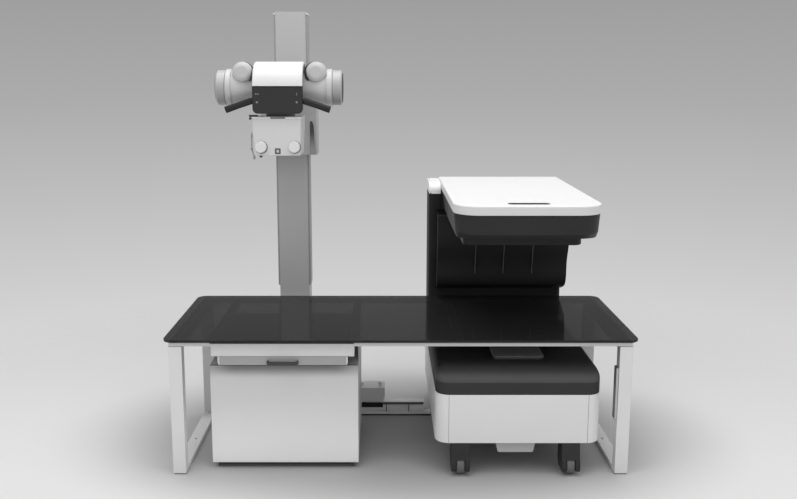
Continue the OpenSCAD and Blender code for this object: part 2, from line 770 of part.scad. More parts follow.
module collimator_housing() color([0.8, 0.8, 0.8]) place() difference() {
  union() {
    coll_box(0);
    rod_x([lever_x + lever_t + gap, lever_v, lever_z], 9, 30);
  }
  coll_box(coll_wall);
  translate([head_x, tube_v, coll_z1 - coll_wall - 1]) cylinder(h = coll_wall + 2, r = 50);
  box([head_x - beam_a / 2, tube_v - beam_a / 2, coll_z0 - 1],
      [head_x + beam_a / 2, tube_v + beam_a / 2, coll_z0 + coll_wall + 1]);
  for (s = [-1, 1])
    rod_v([coll_x + s * knob_x, coll_front - 1, knob_z], knob_shaft_r + run_fit, coll_wall + 2);
  box([coll_x - button_a / 2 - gap, coll_front - 1, button_z - gap],
      [coll_x + button_a / 2 + gap, coll_front + coll_wall + 1, button_z + button_a + gap]);
}

module collimator_window() color([0.75, 0.8, 0.82, 0.5]) place()
  box([head_x - beam_a / 2, tube_v - beam_a / 2, coll_z0 + 1],
      [head_x + beam_a / 2, tube_v + beam_a / 2, coll_z0 + coll_wall]);

module shutter_knob(s) color([0.9, 0.9, 0.9]) place()
  translate([coll_x + s * knob_x, coll_front, knob_z]) {
    rod_v([0, -gap - knob_h, 0], knob_r - 3, knob_h);
    rod_v([0, -gap - knob_h + 3, 0], knob_r, knob_h - 3);
    rod_v([0, -gap - 1, 0], knob_shaft_r, 17);
    translate([-3, -knob_h - gap, knob_r - 4]) cube([6, knob_h, 9]);
  }
module shutter_knob_left() shutter_knob(-1);
module shutter_knob_right() shutter_knob(1);

module lamp_button() color([0.35, 0.35, 0.36]) place() {
  x = button_a / 2;
  back = coll_front + coll_wall + gap;
  box([coll_x - x, coll_front - button_travel - 1, button_z],
      [coll_x + x, back + 1, button_z + button_a]);
  box([coll_x - x - 3, back, button_z - 3], [coll_x + x + 3, back + 2, button_z + button_a + 3]);
}

module side_lever() color([0.6, 0.6, 0.61]) place() translate([lever_x, lever_v, lever_z]) {
  rod_x([0, 0, 0], 9, lever_t);
  rotate([0, -7, 0]) translate([0, -5, -lever_l]) cube([lever_t - 1, 10, lever_l]);
}

// ---- densitometer base ----

module skirt_ring() difference() {
  plate(base_x0, base_x1, -base_front, unit_rear_v, base_r, 20, base_z, skirt_top);
  plate(base_x0 + skirt_t, base_x1 - skirt_t, -base_front + skirt_t, unit_rear_v - skirt_t,
        base_r - skirt_t, 20 - skirt_t, base_z - 1, skirt_top + 1);
}

module base_chassis() color([0.25, 0.25, 0.26]) place() {
  e = skirt_t;
  difference() {
    plate(base_x0 + e, base_x1 - e, -base_front + e, unit_rear_v - e, base_r - e, 20 - e,
          chassis_z, chassis_z + chassis_t);
    for (side = [-1, 1], end = [0, 1])
      translate([caster_x(side), caster_v(end), chassis_z - 1])
        cylinder(h = chassis_t + 2, r = stem_r + run_fit);
  }
  // side beams that carry the column and the casters
  for (x = [beam_x0, beam_x1])
    box([x, 30, chassis_z + chassis_t - 1], [x + beam_w, unit_rear_v - 30, chassis_z + 70]);
}

module base_front_panel() color([0.84, 0.84, 0.84]) place() intersection() {
  skirt_ring();
  box([ux - front_w / 2 + gap, -50, base_z], [ux + front_w / 2 - gap, 60, skirt_top]);
}

module base_side_panels() color([0.84, 0.84, 0.84]) place() difference() {
  skirt_ring();
  box([ux - front_w / 2, -50, base_z - 1], [ux + front_w / 2, 60, skirt_top + 1]);
  box([pillar_x0 + 40, unit_rear_v - 60, base_z - 1],
      [pillar_x1 - 40, unit_rear_v + 1, skirt_top + 1]);
}

module base_top_cover() color([0.24, 0.24, 0.24]) place() {
  x0 = base_x0 + 1;
  x1 = base_x1 - 1;
  v0 = -base_front + 1;
  difference() {
    soft_plate(x0, x1, v0, deck_back, base_r - 3, skirt_top, deck_top, deck_r, deck_k);
    plate(x0 + deck_r, x1 - deck_r, v0 + deck_r * deck_k, deck_back - cover_t, 20, 4,
          skirt_top - 1, deck_top - cover_t);
    plate(x0 + cover_t, x1 - cover_t, v0 + cover_t, deck_back - cover_t, base_r - 7, 4,
          skirt_top - 1, deck_top - deck_r);
  }
}

module source_window() color([0.3, 0.3, 0.31]) place()
  plate(head_cx - window_w / 2, head_cx + window_w / 2, window_v, window_v + window_d,
        24, 24, deck_top, deck_top + window_h);

under_x = ux - 7;
under_slope = 12;
under_r = 10;

module cable_box() color([0.6, 0.6, 0.6]) place()
  profile_v(24, 150, concat(
    [[under_x + under_w / 2, chassis_z], [under_x - under_w / 2, chassis_z]],
    arc([under_x - under_w / 2 + under_slope + under_r, chassis_z - under_h + under_r],
        under_r, 190, 270, 5),
    arc([under_x + under_w / 2 - under_slope - under_r, chassis_z - under_h + under_r],
        under_r, 270, 350, 5)));

// ---- densitometer column and head ----

// Bulge profile in (v, z), set in by t from its outer faces and running back to v1
function bulge_profile(t, v1, z1) = concat(
  [[v1, bulge_z - bulge_drop + t]],
  arc([bulge_v + bulge_r, bulge_z + bulge_r], bulge_r - t, 252, 180, 10),
  [[bulge_v + t, bulge_z + bulge_h], [lean_v + t, bulge_z + bulge_h + lean_h],
   [lean_v + t, z1], [v1, z1]]);

module column_front_cover() color([0.12, 0.12, 0.12]) place() {
  t = cover_t;
  v1 = unit_rear_v - t;
  shoulder_z = lid_top - shoulder_h;
  difference() {
    union() {
      plate(pillar_x0, pillar_x1, pillar_v, v1, pillar_r, 2, skirt_top, head_z0);
      plate(pillar_x0, lid_x0 - gap, pillar_v, v1, pillar_r, 2, head_z0 - 1, shoulder_z);
      profile_x(bulge_x0, pillar_x1, bulge_profile(0, pillar_v + 5, head_z0));
    }
    plate(pillar_x0 + t, pillar_x1 - t, pillar_v + t, v1 + t, pillar_r - t, 2,
          skirt_top - 1, head_z0 + 1);
    plate(pillar_x0 + t, lid_x0 - gap - t, pillar_v + t, v1 - t, pillar_r - t, 2,
          head_z0 - 2, shoulder_z - t);
    profile_x(bulge_x0 + t, pillar_x1 - t, bulge_profile(t, pillar_v + 30, head_z0 + 1));
  }
}

module unit_rear_cover() color([0.16, 0.16, 0.16]) place() {
  v0 = unit_rear_v - cover_t;
  box([pillar_x0 + 40 + gap, v0, base_z + 4], [pillar_x1 - 40 - gap, unit_rear_v, skirt_top]);
  box([pillar_x0, v0, skirt_top], [pillar_x1, unit_rear_v, head_z0]);
}

module column_frame() color([0.4, 0.4, 0.42]) place() {
  z0 = chassis_z + 70;
  for (x = [beam_x0, beam_x1]) {
    box([x, unit_rear_v - 130, z0], [x + beam_w, unit_rear_v - 70, lid_z0 - 6]);
    box([x, lower_v + 60, head_z0 + 52], [x + beam_w, unit_rear_v - 129, lid_z0 - 6]);
  }
  for (z = [skirt_top + 40, bulge_z + 120])
    box([beam_x0 + beam_w - 1, unit_rear_v - 120, z], [beam_x1 + 1, unit_rear_v - 80, z + 60]);
}

module shoulder_cap() color([0.96, 0.96, 0.96]) place() {
  z0 = lid_top - shoulder_h;
  z1 = lid_top - 8;
  r = 45;
  v0 = pillar_v;
  points = concat([[unit_rear_v, z0], [v0, z0]],
                  arc([v0 + r, z1 - r], r, 180, 90, 10), [[unit_rear_v, z1]]);
  profile_x(pillar_x0 + 9, lid_x0 - gap, points);
  profile_x(pillar_x0, pillar_x0 + 8, concat([[unit_rear_v - 4, z0], [v0 + 4, z0]],
            arc([v0 + r, z1 - r], r - 4, 180, 90, 10), [[unit_rear_v - 4, z1 - 4]]));
  profile_x(pillar_x0 + 7.9, pillar_x0 + 9.1, concat([[unit_rear_v - 8, z0 + 4], [v0 + 8, z0 + 4]],
            arc([v0 + r, z1 - r], r - 8, 180, 90, 10), [[unit_rear_v - 8, z1 - 8]]));
}

head_x0 = lid_x0 + housing_in;
head_x1 = lid_x1 - housing_in;
head_v0 = -lid_front + housing_in;
head_v1 = unit_rear_v - housing_in;

module head_housing() color([0.22, 0.22, 0.22]) place() {
  e = head_edge;
  c = cover_t;
  difference() {
    hull() {
      plate(head_x0, head_x1, head_v0, head_v1, lid_r - housing_in, 8, lid_z0 - 2, lid_z0);
      for (i = [0:4]) let (a = 22.5 * i, k = 1 - cos(a), d = head_draft + e * k,
                           side = head_draft + head_side_in * k)
        plate(head_x0 + side, head_x1 - side, head_v0 + d, head_v1, lid_r - housing_in - d, 8,
              head_z0 + e - e * sin(a), head_z0 + e);
    }
    hull() {
      plate(head_x0 + c, head_x1 - c, head_v0 + c, head_v1 - c, lid_r - housing_in - c, 5,
            lid_z0 - 2, lid_z0 + 1);
      plate(head_x0 + c + head_draft, head_x1 - c - head_draft, head_v0 + c + head_draft,
            head_v1 - c, lid_r - housing_in - c - head_draft, 5, head_z0 + e, head_z0 + e + 1);
    }
    plate(head_x0 + head_side_in + c + head_draft, head_x1 - head_side_in - c - head_draft,
          head_v0 + e + head_draft, head_v1 - c, lid_r - housing_in - e - head_draft, 5,
          head_z0 + c, head_z0 + e + 1);
    // passage for the column's uprights
    box([beam_x0 - 4, unit_rear_v - 140, head_z0 - 1],
        [beam_x1 + beam_w + 4, unit_rear_v - 60, head_z0 + e + 1]);
  }
}

recess_w = 186;

module head_lid() color([0.98, 0.98, 0.98]) place() difference() {
  soft_plate(lid_x0, lid_x1, -lid_front, unit_rear_v, lid_r, lid_z0, lid_top, 3, 1);
  plate(lid_x0 + 20, lid_x1 - 20, -lid_front + 20, unit_rear_v - 20, lid_r - 20, 5,
        lid_z0 - 1, lid_top - cover_t);
  box([head_cx - recess_w / 2, -lid_front + 55, lid_top - 2],
      [head_cx + recess_w / 2, -lid_front + 110, lid_top + 1]);
}

module head_lower_cover() color([0.16, 0.16, 0.16]) place() difference() {
  cx = head_cx;
  plate(cx - lower_w / 2, cx + lower_w / 2, lower_v, lean_v - gap, 40, 4, lower_z0, head_z0);
  plate(cx - lower_w / 2 + cover_t, cx + lower_w / 2 - cover_t, lower_v + cover_t,
        lean_v - gap - cover_t, 36, 3, lower_z0 + cover_t, head_z0 + 1);
}

// ---- scanner ----

// Two rods in end blocks that stand on z0
module scan_rods(x0, x1, v, z, z0) {
  for (x = [x0, x1 - 20]) box([x, v - rod_gap / 2 - 20, z0], [x + 20, v + rod_gap / 2 + 20, z + 16]);
  for (s = [-1, 1]) rod_x([x0 + 10, v + s * rod_gap / 2, z], rod_r, x1 - x0 - 20);
}

// Carriage bored for the two rods
module scan_block(cx, v, z, up, down) difference() {
  box([cx - scan_l / 2, v - rod_gap / 2 - 22, z - down],
      [cx + scan_l / 2, v + rod_gap / 2 + 22, z + up]);
  for (s = [-1, 1])
    rod_x([cx - scan_l, v + s * rod_gap / 2, z], rod_r + run_fit, 2 * scan_l);
}

rods_x0 = base_x0 + rod_in;
rods_x1 = base_x1 - rod_in;

module base_scan_rods() color([0.7, 0.7, 0.72]) place()
  scan_rods(rods_x0, rods_x1, scan_v, base_rod_z, chassis_z + chassis_t);
module head_scan_rods() color([0.7, 0.7, 0.72]) place()
  scan_rods(rods_x0, rods_x1, scan_v, head_rod_z, head_z0 + cover_t);

module source_carriage() color([0.45, 0.47, 0.5]) place() {
  x = (rods_x0 + rods_x1) / 2;
  scan_block(x, scan_v, base_rod_z, 24, 24);
  translate([x, scan_v, base_rod_z - 120]) cylinder(h = 97, r = 55);
  translate([x, scan_v, base_rod_z + 23]) cylinder(h = 60, r = 26);
}

module detector_carriage() color([0.45, 0.47, 0.5]) place() {
  x = (rods_x0 + rods_x1) / 2;
  scan_block(x, scan_v, head_rod_z, 20, 20);
  box([x - 50, scan_v - 60, head_rod_z + 19], [x + 50, scan_v + 60, head_rod_z + 44]);
}

// ---- casters ----

hood_back = 34;
hood_r = 56;
hood_lip = 84;

module caster_hood(side, end) color([0.14, 0.14, 0.15]) place()
  translate([caster_x(side), caster_v(end), 0]) {
    top = chassis_z - gap;
    difference() {
      union() {
        profile_x(-hood_w / 2, hood_w / 2, concat(
          [[hood_back, top - 30], [hood_back - 8, top - 8], [-hood_r + 20, top - 8]],
          arc([-trail, wheel_r], hood_r, 110, 205, 12), [[hood_back - 24, 22], [hood_back, 60]]));
        translate([0, 0, top - 12]) cylinder(h = 12, r = 34);
      }
      // slot that the wheel turns in, closed above by the hood's front
      rod_x([-wheel_w / 2 - 2, -trail, wheel_r], wheel_r + 4, wheel_w + 4);
      box([-wheel_w / 2 - 2, -120, -10], [wheel_w / 2 + 2, wheel_r - trail + 4, hood_lip]);
    }
    rod_x([-hood_w / 2, -trail, wheel_r], axle_r, hood_w);
    translate([0, 0, top - 1]) cylinder(h = chassis_t, r = stem_r);
  }

module caster_wheel(side, end) color([0.42, 0.42, 0.43]) place()
  translate([caster_x(side), caster_v(end) - trail, wheel_r]) rotate([0, 90, 0])
    rotate_extrude() polygon(concat([[axle_r + run_fit, -wheel_w / 2]],
      [[wheel_r - 8, -wheel_w / 2]], arc([wheel_r - 8, -wheel_w / 2 + 8], 8, 270, 360, 6),
      arc([wheel_r - 8, wheel_w / 2 - 8], 8, 0, 90, 6), [[axle_r + run_fit, wheel_w / 2]]));

module caster_hood_fl() caster_hood(-1, 0);
module caster_hood_fr() caster_hood(1, 0);
module caster_hood_rl() caster_hood(-1, 1);
module caster_hood_rr() caster_hood(1, 1);
module caster_wheel_fl() caster_wheel(-1, 0);
module caster_wheel_fr() caster_wheel(1, 0);
module caster_wheel_rl() caster_wheel(-1, 1);
module caster_wheel_rr() caster_wheel(1, 1);

table_top();
top_frame();
leg_frames();
leg_pads();
frame_screws();
hand_switch_box();
tray_housing();
anti_scatter_grid();
tray_runners();
cabinet_body();
cabinet_front_panel();
cabinet_plinth();
generator_unit();
floor_rail();
image_tray();
tray_handle();
detector_panel();
stand_carriage();
drive_box();
stand_column();
guide_rails();
counterweight();
lift_carriage();
lift_side_cover();
tube_housing();
tube_end_caps();
head_cover();
control_panel();
handlebars();
collimator_housing();
collimator_window();
shutter_knob_left();
shutter_knob_right();
lamp_button();
side_lever();
base_chassis();
base_front_panel();
base_side_panels();
base_top_cover();
source_window();
cable_box();
column_frame();
column_front_cover();
unit_rear_cover();
shoulder_cap();
head_housing();
head_lid();
head_lower_cover();
base_scan_rods();
head_scan_rods();
source_carriage();
detector_carriage();
caster_hood_fl();
caster_hood_fr();
caster_hood_rl();
caster_hood_rr();
caster_wheel_fl();
caster_wheel_fr();
caster_wheel_rl();
caster_wheel_rr();
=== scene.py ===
import json
import math

import bmesh
import bpy
import numpy as np
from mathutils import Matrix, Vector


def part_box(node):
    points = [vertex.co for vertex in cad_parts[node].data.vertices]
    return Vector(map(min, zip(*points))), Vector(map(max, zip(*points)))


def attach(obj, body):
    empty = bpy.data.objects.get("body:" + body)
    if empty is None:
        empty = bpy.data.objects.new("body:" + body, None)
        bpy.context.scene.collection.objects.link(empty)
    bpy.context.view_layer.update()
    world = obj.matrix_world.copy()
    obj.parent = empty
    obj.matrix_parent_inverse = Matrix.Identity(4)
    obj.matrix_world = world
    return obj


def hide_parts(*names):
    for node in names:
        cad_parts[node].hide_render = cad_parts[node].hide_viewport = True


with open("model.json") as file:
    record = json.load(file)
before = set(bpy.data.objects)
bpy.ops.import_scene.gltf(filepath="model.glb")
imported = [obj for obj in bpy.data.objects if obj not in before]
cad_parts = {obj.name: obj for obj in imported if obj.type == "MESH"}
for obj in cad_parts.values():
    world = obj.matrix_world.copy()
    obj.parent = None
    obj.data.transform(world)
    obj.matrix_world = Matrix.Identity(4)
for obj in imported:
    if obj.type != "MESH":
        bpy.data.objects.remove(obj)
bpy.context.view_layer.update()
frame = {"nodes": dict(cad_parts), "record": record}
nodes = frame["nodes"]
scene = bpy.context.scene

# ---- Room -----------------------------------------------------------------------------
# A plain studio: a pale matt floor that fades out into an even grey background, light from
# all round, one wide soft lamp overhead and two weaker ones in front.


class Tone:
    """A value in a shader. Each operator adds one Math node and gives its result."""

    def __init__(self, finish, socket):
        self.finish, self.socket = finish, socket

    def math(self, operation, *values):
        return self.finish.add("Math", {"operation": operation}, dict(enumerate(values)))

    def __add__(self, other):
        return self.math("ADD", self, other)

    def __sub__(self, other):
        return self.math("SUBTRACT", self, other)

    def __rsub__(self, other):
        return self.math("SUBTRACT", other, self)

    def __mul__(self, other):
        return self.math("MULTIPLY", self, other)

    def __truediv__(self, other):
        return self.math("DIVIDE", self, other)

    def __or__(self, other):
        """The larger of two masks."""
        return self.math("MAXIMUM", self, other)

    def __abs__(self):
        return self.math("ABSOLUTE", self)

    __radd__, __rmul__ = __add__, __mul__

    def out(self, name):
        """Another output of the same node."""
        return Tone(self.finish, self.socket.node.outputs[name])

    def along(self, axis):
        """One coordinate of a place or a direction."""
        return self.finish.add("SeparateXYZ", None, {0: self}).out(axis)

    def between(self, low, high):
        """Smooth step: 0 below low and 1 above high, or the other way round if low > high."""
        flip = low > high
        step = self.finish.add(
            "MapRange", {"interpolation_type": "SMOOTHSTEP"},
            {"Value": self, "From Min": min(low, high), "From Max": max(low, high)},
        )
        return 1 - step if flip else step


class Finish:
    """The nodes of one finish, on a material or on the world."""

    def __init__(self, owner):
        owner.use_nodes = True
        self.owner, self.tree = owner, owner.node_tree
        self.tree.nodes.clear()

    def add(self, kind, settings=None, sockets=None, out=0):
        """Adds a node, its settings and its sockets' values or links. Gives one output."""
        node = self.tree.nodes.new("ShaderNode" + kind)
        for key, value in (settings or {}).items():
            if key == "stops":
                for at, _ in value[1:-1]:
                    node.color_ramp.elements.new(at)
                for element, (at, colour) in zip(node.color_ramp.elements, value):
                    element.position, element.color = at, colour
            else:
                setattr(node, key, value)
        for key, value in (sockets or {}).items():
            if isinstance(value, Tone):
                self.tree.links.new(value.socket, node.inputs[key])
            else:
                node.inputs[key].default_value = value
        return Tone(self, node.outputs[out]) if node.outputs else None

    def blend(self, mask, below, above):
        """Colour that goes from below, where the mask is 0, to above, where it is 1."""
        return self.add("Mix", {"data_type": "RGBA"}, {0: mask, 6: below, 7: above}, out=2)

    def noise(self, place, scale, detail):
        """Even cloudy pattern from 0 to 1."""
        return self.add("TexNoise", None, {"Vector": place, "Scale": scale, "Detail": detail})

    def place(self):
        """The point's place on the piece at rest."""
        return self.add("TexCoord").out("Object")

    def bump(self, pattern, depth, edge=0.0):
        """Normal of a relief of one depth, on edges that edge rounds off."""
        sockets = {"Height": pattern, "Distance": depth}
        if edge:
            sockets["Normal"] = self.add("Bevel", {"samples": 6}, {"Radius": edge})
        return self.add("Bump", None, sockets)

    def surface(self, sockets):
        """Ends the nodes in one shader, and gives the material."""
        self.add("OutputMaterial", None, {0: self.add("BsdfPrincipled", None, sockets)})
        return self.owner


def grey(level, red=0, blue=0):
    """Colour of a display grey from 0 to 255, a little redder or bluer, as linear light:
    (v/255 + 0.055) / 1.055, to the power 2.4."""
    v = (np.array([level + red, level, level + blue]) / 255 + 0.055) / 1.055
    return (*(v**2.4).tolist(), 1.0)


world = bpy.data.worlds.new("studio")
scene.world = world
air = Finish(world)
upward = air.add("TexCoord").along("Z")
lowest, span = -0.5, 1.5
backdrop_stops = [(-0.46, 231), (-0.40, 227), (-0.33, 222), (-0.246, 211), (-0.136, 192),
                  (-0.025, 172), (0.08, 159), (0.19, 140), (0.30, 118), (1.0, 110)]
backdrop = air.add(
    "ValToRGB",
    {"stops": [((z - lowest) / span, grey(level)) for z, level in backdrop_stops]},
    {0: (upward - lowest) / span},
)
path = air.add("LightPath")
seen = path.out("Is Camera Ray") | path.out("Is Glossy Ray") | path.out("Is Transmission Ray")
ambient = air.add("Background", None, {"Color": (1, 1, 1, 1), "Strength": 0.62})
shown = air.add("Background", None, {"Color": backdrop, "Strength": 1.0})
air.add("OutputWorld", None, {0: air.add("MixShader", None, {0: seen, 1: ambient, 2: shown})})


def woven(grid):
    """Four-sided faces between the rows of a grid of point numbers. Each row is a closed loop."""
    return np.stack([grid[:-1], np.roll(grid[:-1], -1, 1),
                     np.roll(grid[1:], -1, 1), grid[1:]], -1).reshape(-1, 4)


floor_radius = 6.0
rings = np.linspace(0, floor_radius, 13)[1:]
turns = np.linspace(0, 2 * np.pi, 96, endpoint=False)
disc = rings[:, None, None] * np.stack([np.cos(turns), np.sin(turns), 0 * turns], 1)
disc = disc.reshape(-1, 3)
grid = np.arange(len(disc)).reshape(len(rings), len(turns))
floor_mesh = bpy.data.meshes.new("floor")
floor_mesh.from_pydata(disc, [], [*woven(grid)[:, ::-1].tolist(), grid[0].tolist()])
floor = bpy.data.objects.new("floor", floor_mesh)
scene.collection.objects.link(floor)
ground = Finish(bpy.data.materials.new("floor_paper"))
spot = ground.place()
reach = ground.add("VectorMath", {"operation": "LENGTH"}, {0: spot}, out="Value")
paper = ground.blend(spot.along("Y").between(2.2, -1.2), grey(216), grey(230))
# The floor is painted darker round the machine: a soft painted shadow under and beside it.
painted_shadow_reach = ground.add("VectorMath", {"operation": "LENGTH"}, {0: ground.add(
    "VectorMath", {"operation": "DIVIDE"}, {0: spot, 1: (1.5, 0.95, 1.0)})}, out="Value")
paper = ground.blend(painted_shadow_reach.between(0.6, 1.25), grey(180), paper)
floor_mesh.materials.append(ground.surface({
    "Base Color": paper, "Roughness": 0.9, "Specular IOR Level": 0.1,
    "Alpha": reach.between(3.6, 1.9)}))


def lamp(name, size, place, aim, watts):
    """Square soft lamp that points at aim."""
    light = bpy.data.lights.new(name, "AREA")
    light.size, light.energy = size, watts
    made = bpy.data.objects.new(name, light)
    scene.collection.objects.link(made)
    away = np.subtract(place, aim)
    made.location = place
    made.rotation_euler = (math.acos(away[2] / np.linalg.norm(away)), 0,
                           math.atan2(away[1], away[0]) + math.pi / 2)


lamp("overhead_lamp", 4.0, (0.0, -0.3, 5.6), (0.0, 0.0, 0.0), 135)
lamp("left_lamp", 2.8, (-2.6, -3.4, 5.2), (-0.2, 0.0, 0.8), 30)
lamp("right_lamp", 2.8, (2.3, -3.4, 5.2), (-0.2, 0.0, 0.8), 22)

camera = bpy.data.objects.new("camera", bpy.data.cameras.new("camera"))
scene.collection.objects.link(camera)
# The view's width and height, the spot its axis meets and its focal length, in one unit.
width, height = 797, 499
axis_x, axis_y = 384, 228
focal = 890
looks_down = 9.59
camera.location = (-0.077, -4.4405, 1.837)
camera.rotation_euler = (math.radians(90 - looks_down), 0, 0)
camera.data.sensor_width = 36
camera.data.lens = focal / width * camera.data.sensor_width
camera.data.shift_x = (width / 2 - axis_x) / width
camera.data.shift_y = (axis_y - height / 2) / width
scene.camera = camera
scene.view_settings.view_transform = "Standard"

# ---- Tabletop -------------------------------------------------------------------------
# The patient lies on one long sheet of dark resin laminate, glossy and just clear enough for a
# trace of light. Its corners are rounded, and it is glued to the frame, so no fixings show.


def rounded(x0, x1, y0, y1, radii, steps):
    """Closed loop round a rectangle, from its left front corner, anticlockwise. Each corner is
    a quarter ellipse: its centre plus its two radii times (cos a, sin a)."""
    quarter = np.linspace(0, np.pi / 2, steps + 1)
    radii = [np.broadcast_to(r, 2) for r in (radii if isinstance(radii, list) else [radii] * 4)]
    corners = [(x0, 1, y0, 1, 2), (x1, -1, y0, 1, 3), (x1, -1, y1, -1, 0), (x0, 1, y1, -1, 1)]
    return np.concatenate([
        np.stack([x + way * rx + rx * np.cos(start * np.pi / 2 + quarter),
                  y + side * ry + ry * np.sin(start * np.pi / 2 + quarter)], 1)
        for (x, way, y, side, start), (rx, ry) in zip(corners, radii)])


def drawn_in(loop, by):
    """The loop moved inwards: a point goes along the sum of its two edges' unit normals, scaled
    by 2 by / |sum|^2, so that both edges move by the same distance."""
    edge = np.roll(loop, -1, 0) - loop
    edge = edge / np.linalg.norm(edge, axis=1)[:, None]
    normal = np.stack([-edge[:, 1], edge[:, 0]], 1)
    both = normal + np.roll(normal, 1, 0)
    return loop + both * (2 * by / (both**2).sum(1))[:, None]


def raised(loops, heights, axis=2):
    """Flat loops set at heights along an axis, as rows of points."""
    loops = np.asarray(loops, float)
    level = np.broadcast_to(np.reshape(heights, (-1, 1)), loops.shape[:2])
    return np.insert(loops, axis, level, axis=2)


def solid(loop, low, high, rim, axis=2, steps=3):
    """The loop carried from low to high, with rounded rims: at angle a it is drawn in by
    rim (1 - sin a) and lies rim (1 - cos a) inside the end."""
    a = np.linspace(0, np.pi / 2, steps + 1)
    inset, rise = rim * (1 - np.sin(a)), rim * (1 - np.cos(a))
    return raised([drawn_in(loop, d) for d in [*inset, *inset[::-1]]],
                  [*(low + rise), *(high - rise[::-1])], axis)


def slab(low, high, corner, rim, axis=2, steps=4, rim_steps=3):
    """Block between two opposite corner points. Its outline, seen along the axis, is rounded by
    corner and its two ends by rim."""
    a, b = (i for i in range(3) if i != axis)
    return solid(rounded(low[a], high[a], low[b], high[b], corner, steps), low[axis],
                 high[axis], rim, axis, rim_steps)


def build(name, shells, body, finish, stands_for=(), crease=38):
    """One piece from shells. A shell is rows of points, each a closed loop: neighbouring rows
    are joined by four-sided faces, and the two end rows are closed unless they are the same."""
    points, faces, start = [], [], 0
    for rows in shells:
        grid = start + np.arange(rows.shape[0] * rows.shape[1]).reshape(rows.shape[:2])
        faces += woven(grid).tolist()
        if not np.allclose(rows[0], rows[-1]):
            faces += [grid[0, ::-1].tolist(), grid[-1].tolist()]
        points.append(rows.reshape(-1, 3))
        start += grid.size
    mesh = bpy.data.meshes.new(name)
    mesh.from_pydata(np.concatenate(points), [], faces)
    edit = bmesh.new()
    edit.from_mesh(mesh)
    bmesh.ops.remove_doubles(edit, verts=edit.verts, dist=1e-6)
    bmesh.ops.recalc_face_normals(edit, faces=edit.faces)
    edit.to_mesh(mesh)
    edit.free()
    mesh.shade_smooth()
    mesh.set_sharp_from_angle(angle=math.radians(crease))
    mesh.materials.append(finish)
    piece = bpy.data.objects.new(name, mesh)
    scene.collection.objects.link(piece)
    piece.modifiers.new("even_faces", "WEIGHTED_NORMAL").keep_sharp = True
    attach(piece, body)
    if stands_for:
        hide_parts(*stands_for)


laminate = Finish(bpy.data.materials.new("dark_laminate"))
place = laminate.place()
laminate.surface({
    "Base Color": laminate.blend(laminate.noise(place, 1.7, 3), grey(39), grey(45, 0, 1)),
    "Roughness": 0.05 + 0.07 * laminate.noise(place, 5.0, 4),
    "Specular IOR Level": 0.19, "Alpha": 0.87,
    "Normal": laminate.bump(laminate.noise(place, 900, 2), 4e-6)})

build("laminate_board", [slab(*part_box("table_top"), 0.050, 0.003, steps=14, rim_steps=4)],
      "table", laminate.owner, ["table_top"])

# ---- Table frame ----------------------------------------------------------------------
# Rectangular steel tube, mitred and welded into a flat frame and two leg loops, then powder
# coated pale grey. The loops stand on rubber pads and are held by screws through their bars.


def coated(name, level, spread, clouds, dark, roughness, relief, edge, mark, tint, shine=0.5):
    """A nearly even skin: its tone wanders by spread over clouds of one scale. roughness is
    (least, range, scale), relief is (scale, depth), and mark(place) is a mask from 0 to 1 of
    where dark joints and painted shade turn it dark, to that share of its level."""
    skin = Finish(bpy.data.materials.new(name))
    place = skin.place()
    tone = skin.blend(skin.noise(place, clouds, 4), grey(level - spread, *tint),
                      grey(level + spread, *tint))
    if mark:
        tone = skin.blend(mark(place), tone, grey(level * dark))
    least, reach, scale = roughness
    return skin.surface({
        "Base Color": tone, "Roughness": least + reach * skin.noise(place, scale, 3),
        "Specular IOR Level": shine,
        "Normal": skin.bump(skin.noise(place, relief[0], 2), relief[1], edge)})


def painted(name, level, gloss, edge=0.0, peel=3e-5, mark=None):
    """Sprayed paint on metal, with the fine waves that a spray gun leaves."""
    return coated(name, level, 4, 2.6, 0.28, (gloss - 0.05, 0.1, 9), (420, peel), edge, mark,
                  (0, 0))


def dress(finish, *names):
    """Gives CAD nodes their finish."""
    for name in names:
        nodes[name].data.materials.clear()
        nodes[name].data.materials.append(finish)


under_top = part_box("leg_frames")[1][2]
inner_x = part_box("hand_switch_box")[1][0]


def leg_joint_and_shade(place):
    """Mask of the legs' dark joint under the frame, and of a softer painted shade on their inner
    sides and on the rear loop, where the tabletop shades them."""
    inner = abs(place.along("X")).between(inner_x + 0.002, inner_x + 0.0005) \
        * place.along("Z").between(0.10, 0.60) * 0.55
    rear = place.along("Y").between(0.10, 0.20) * 0.32
    joint = abs(place.along("Z") - (under_top - 0.001)).between(0.00168, 0.00072)
    return joint | inner | rear


# The frame's coat is set darker than the legs', as painted shade under the tabletop's edge.
dress(painted("frame_powder_coat", 208, 0.38, 0.0015), "top_frame")
dress(painted("leg_powder_coat", 232, 0.38, 0.003, mark=leg_joint_and_shade), "leg_frames")

rubber = Finish(bpy.data.materials.new("pad_rubber"))
place = rubber.place()
dress(rubber.surface({
    "Base Color": rubber.blend(rubber.noise(place, 30, 4), grey(28), grey(44)),
    "Roughness": 0.7 + 0.15 * rubber.noise(place, 80, 2),
    "Normal": rubber.bump(rubber.noise(place, 700, 3), 8e-5)}), "leg_pads")


def turned(profile, centre, axis=2, steps=32, hollow=False):
    """Body of revolution: each (radius, height) of the profile becomes a ring round an axis
    through centre, at angles all the way round. A hollow one's profile closes on itself."""
    a = np.linspace(0, 2 * np.pi, steps, endpoint=False)
    radius, height = np.asarray([*profile, profile[0]] if hollow else profile, float).T
    ring = radius[:, None, None] * np.stack([np.cos(a), np.sin(a)], 1)
    return raised(ring, height, axis) + centre


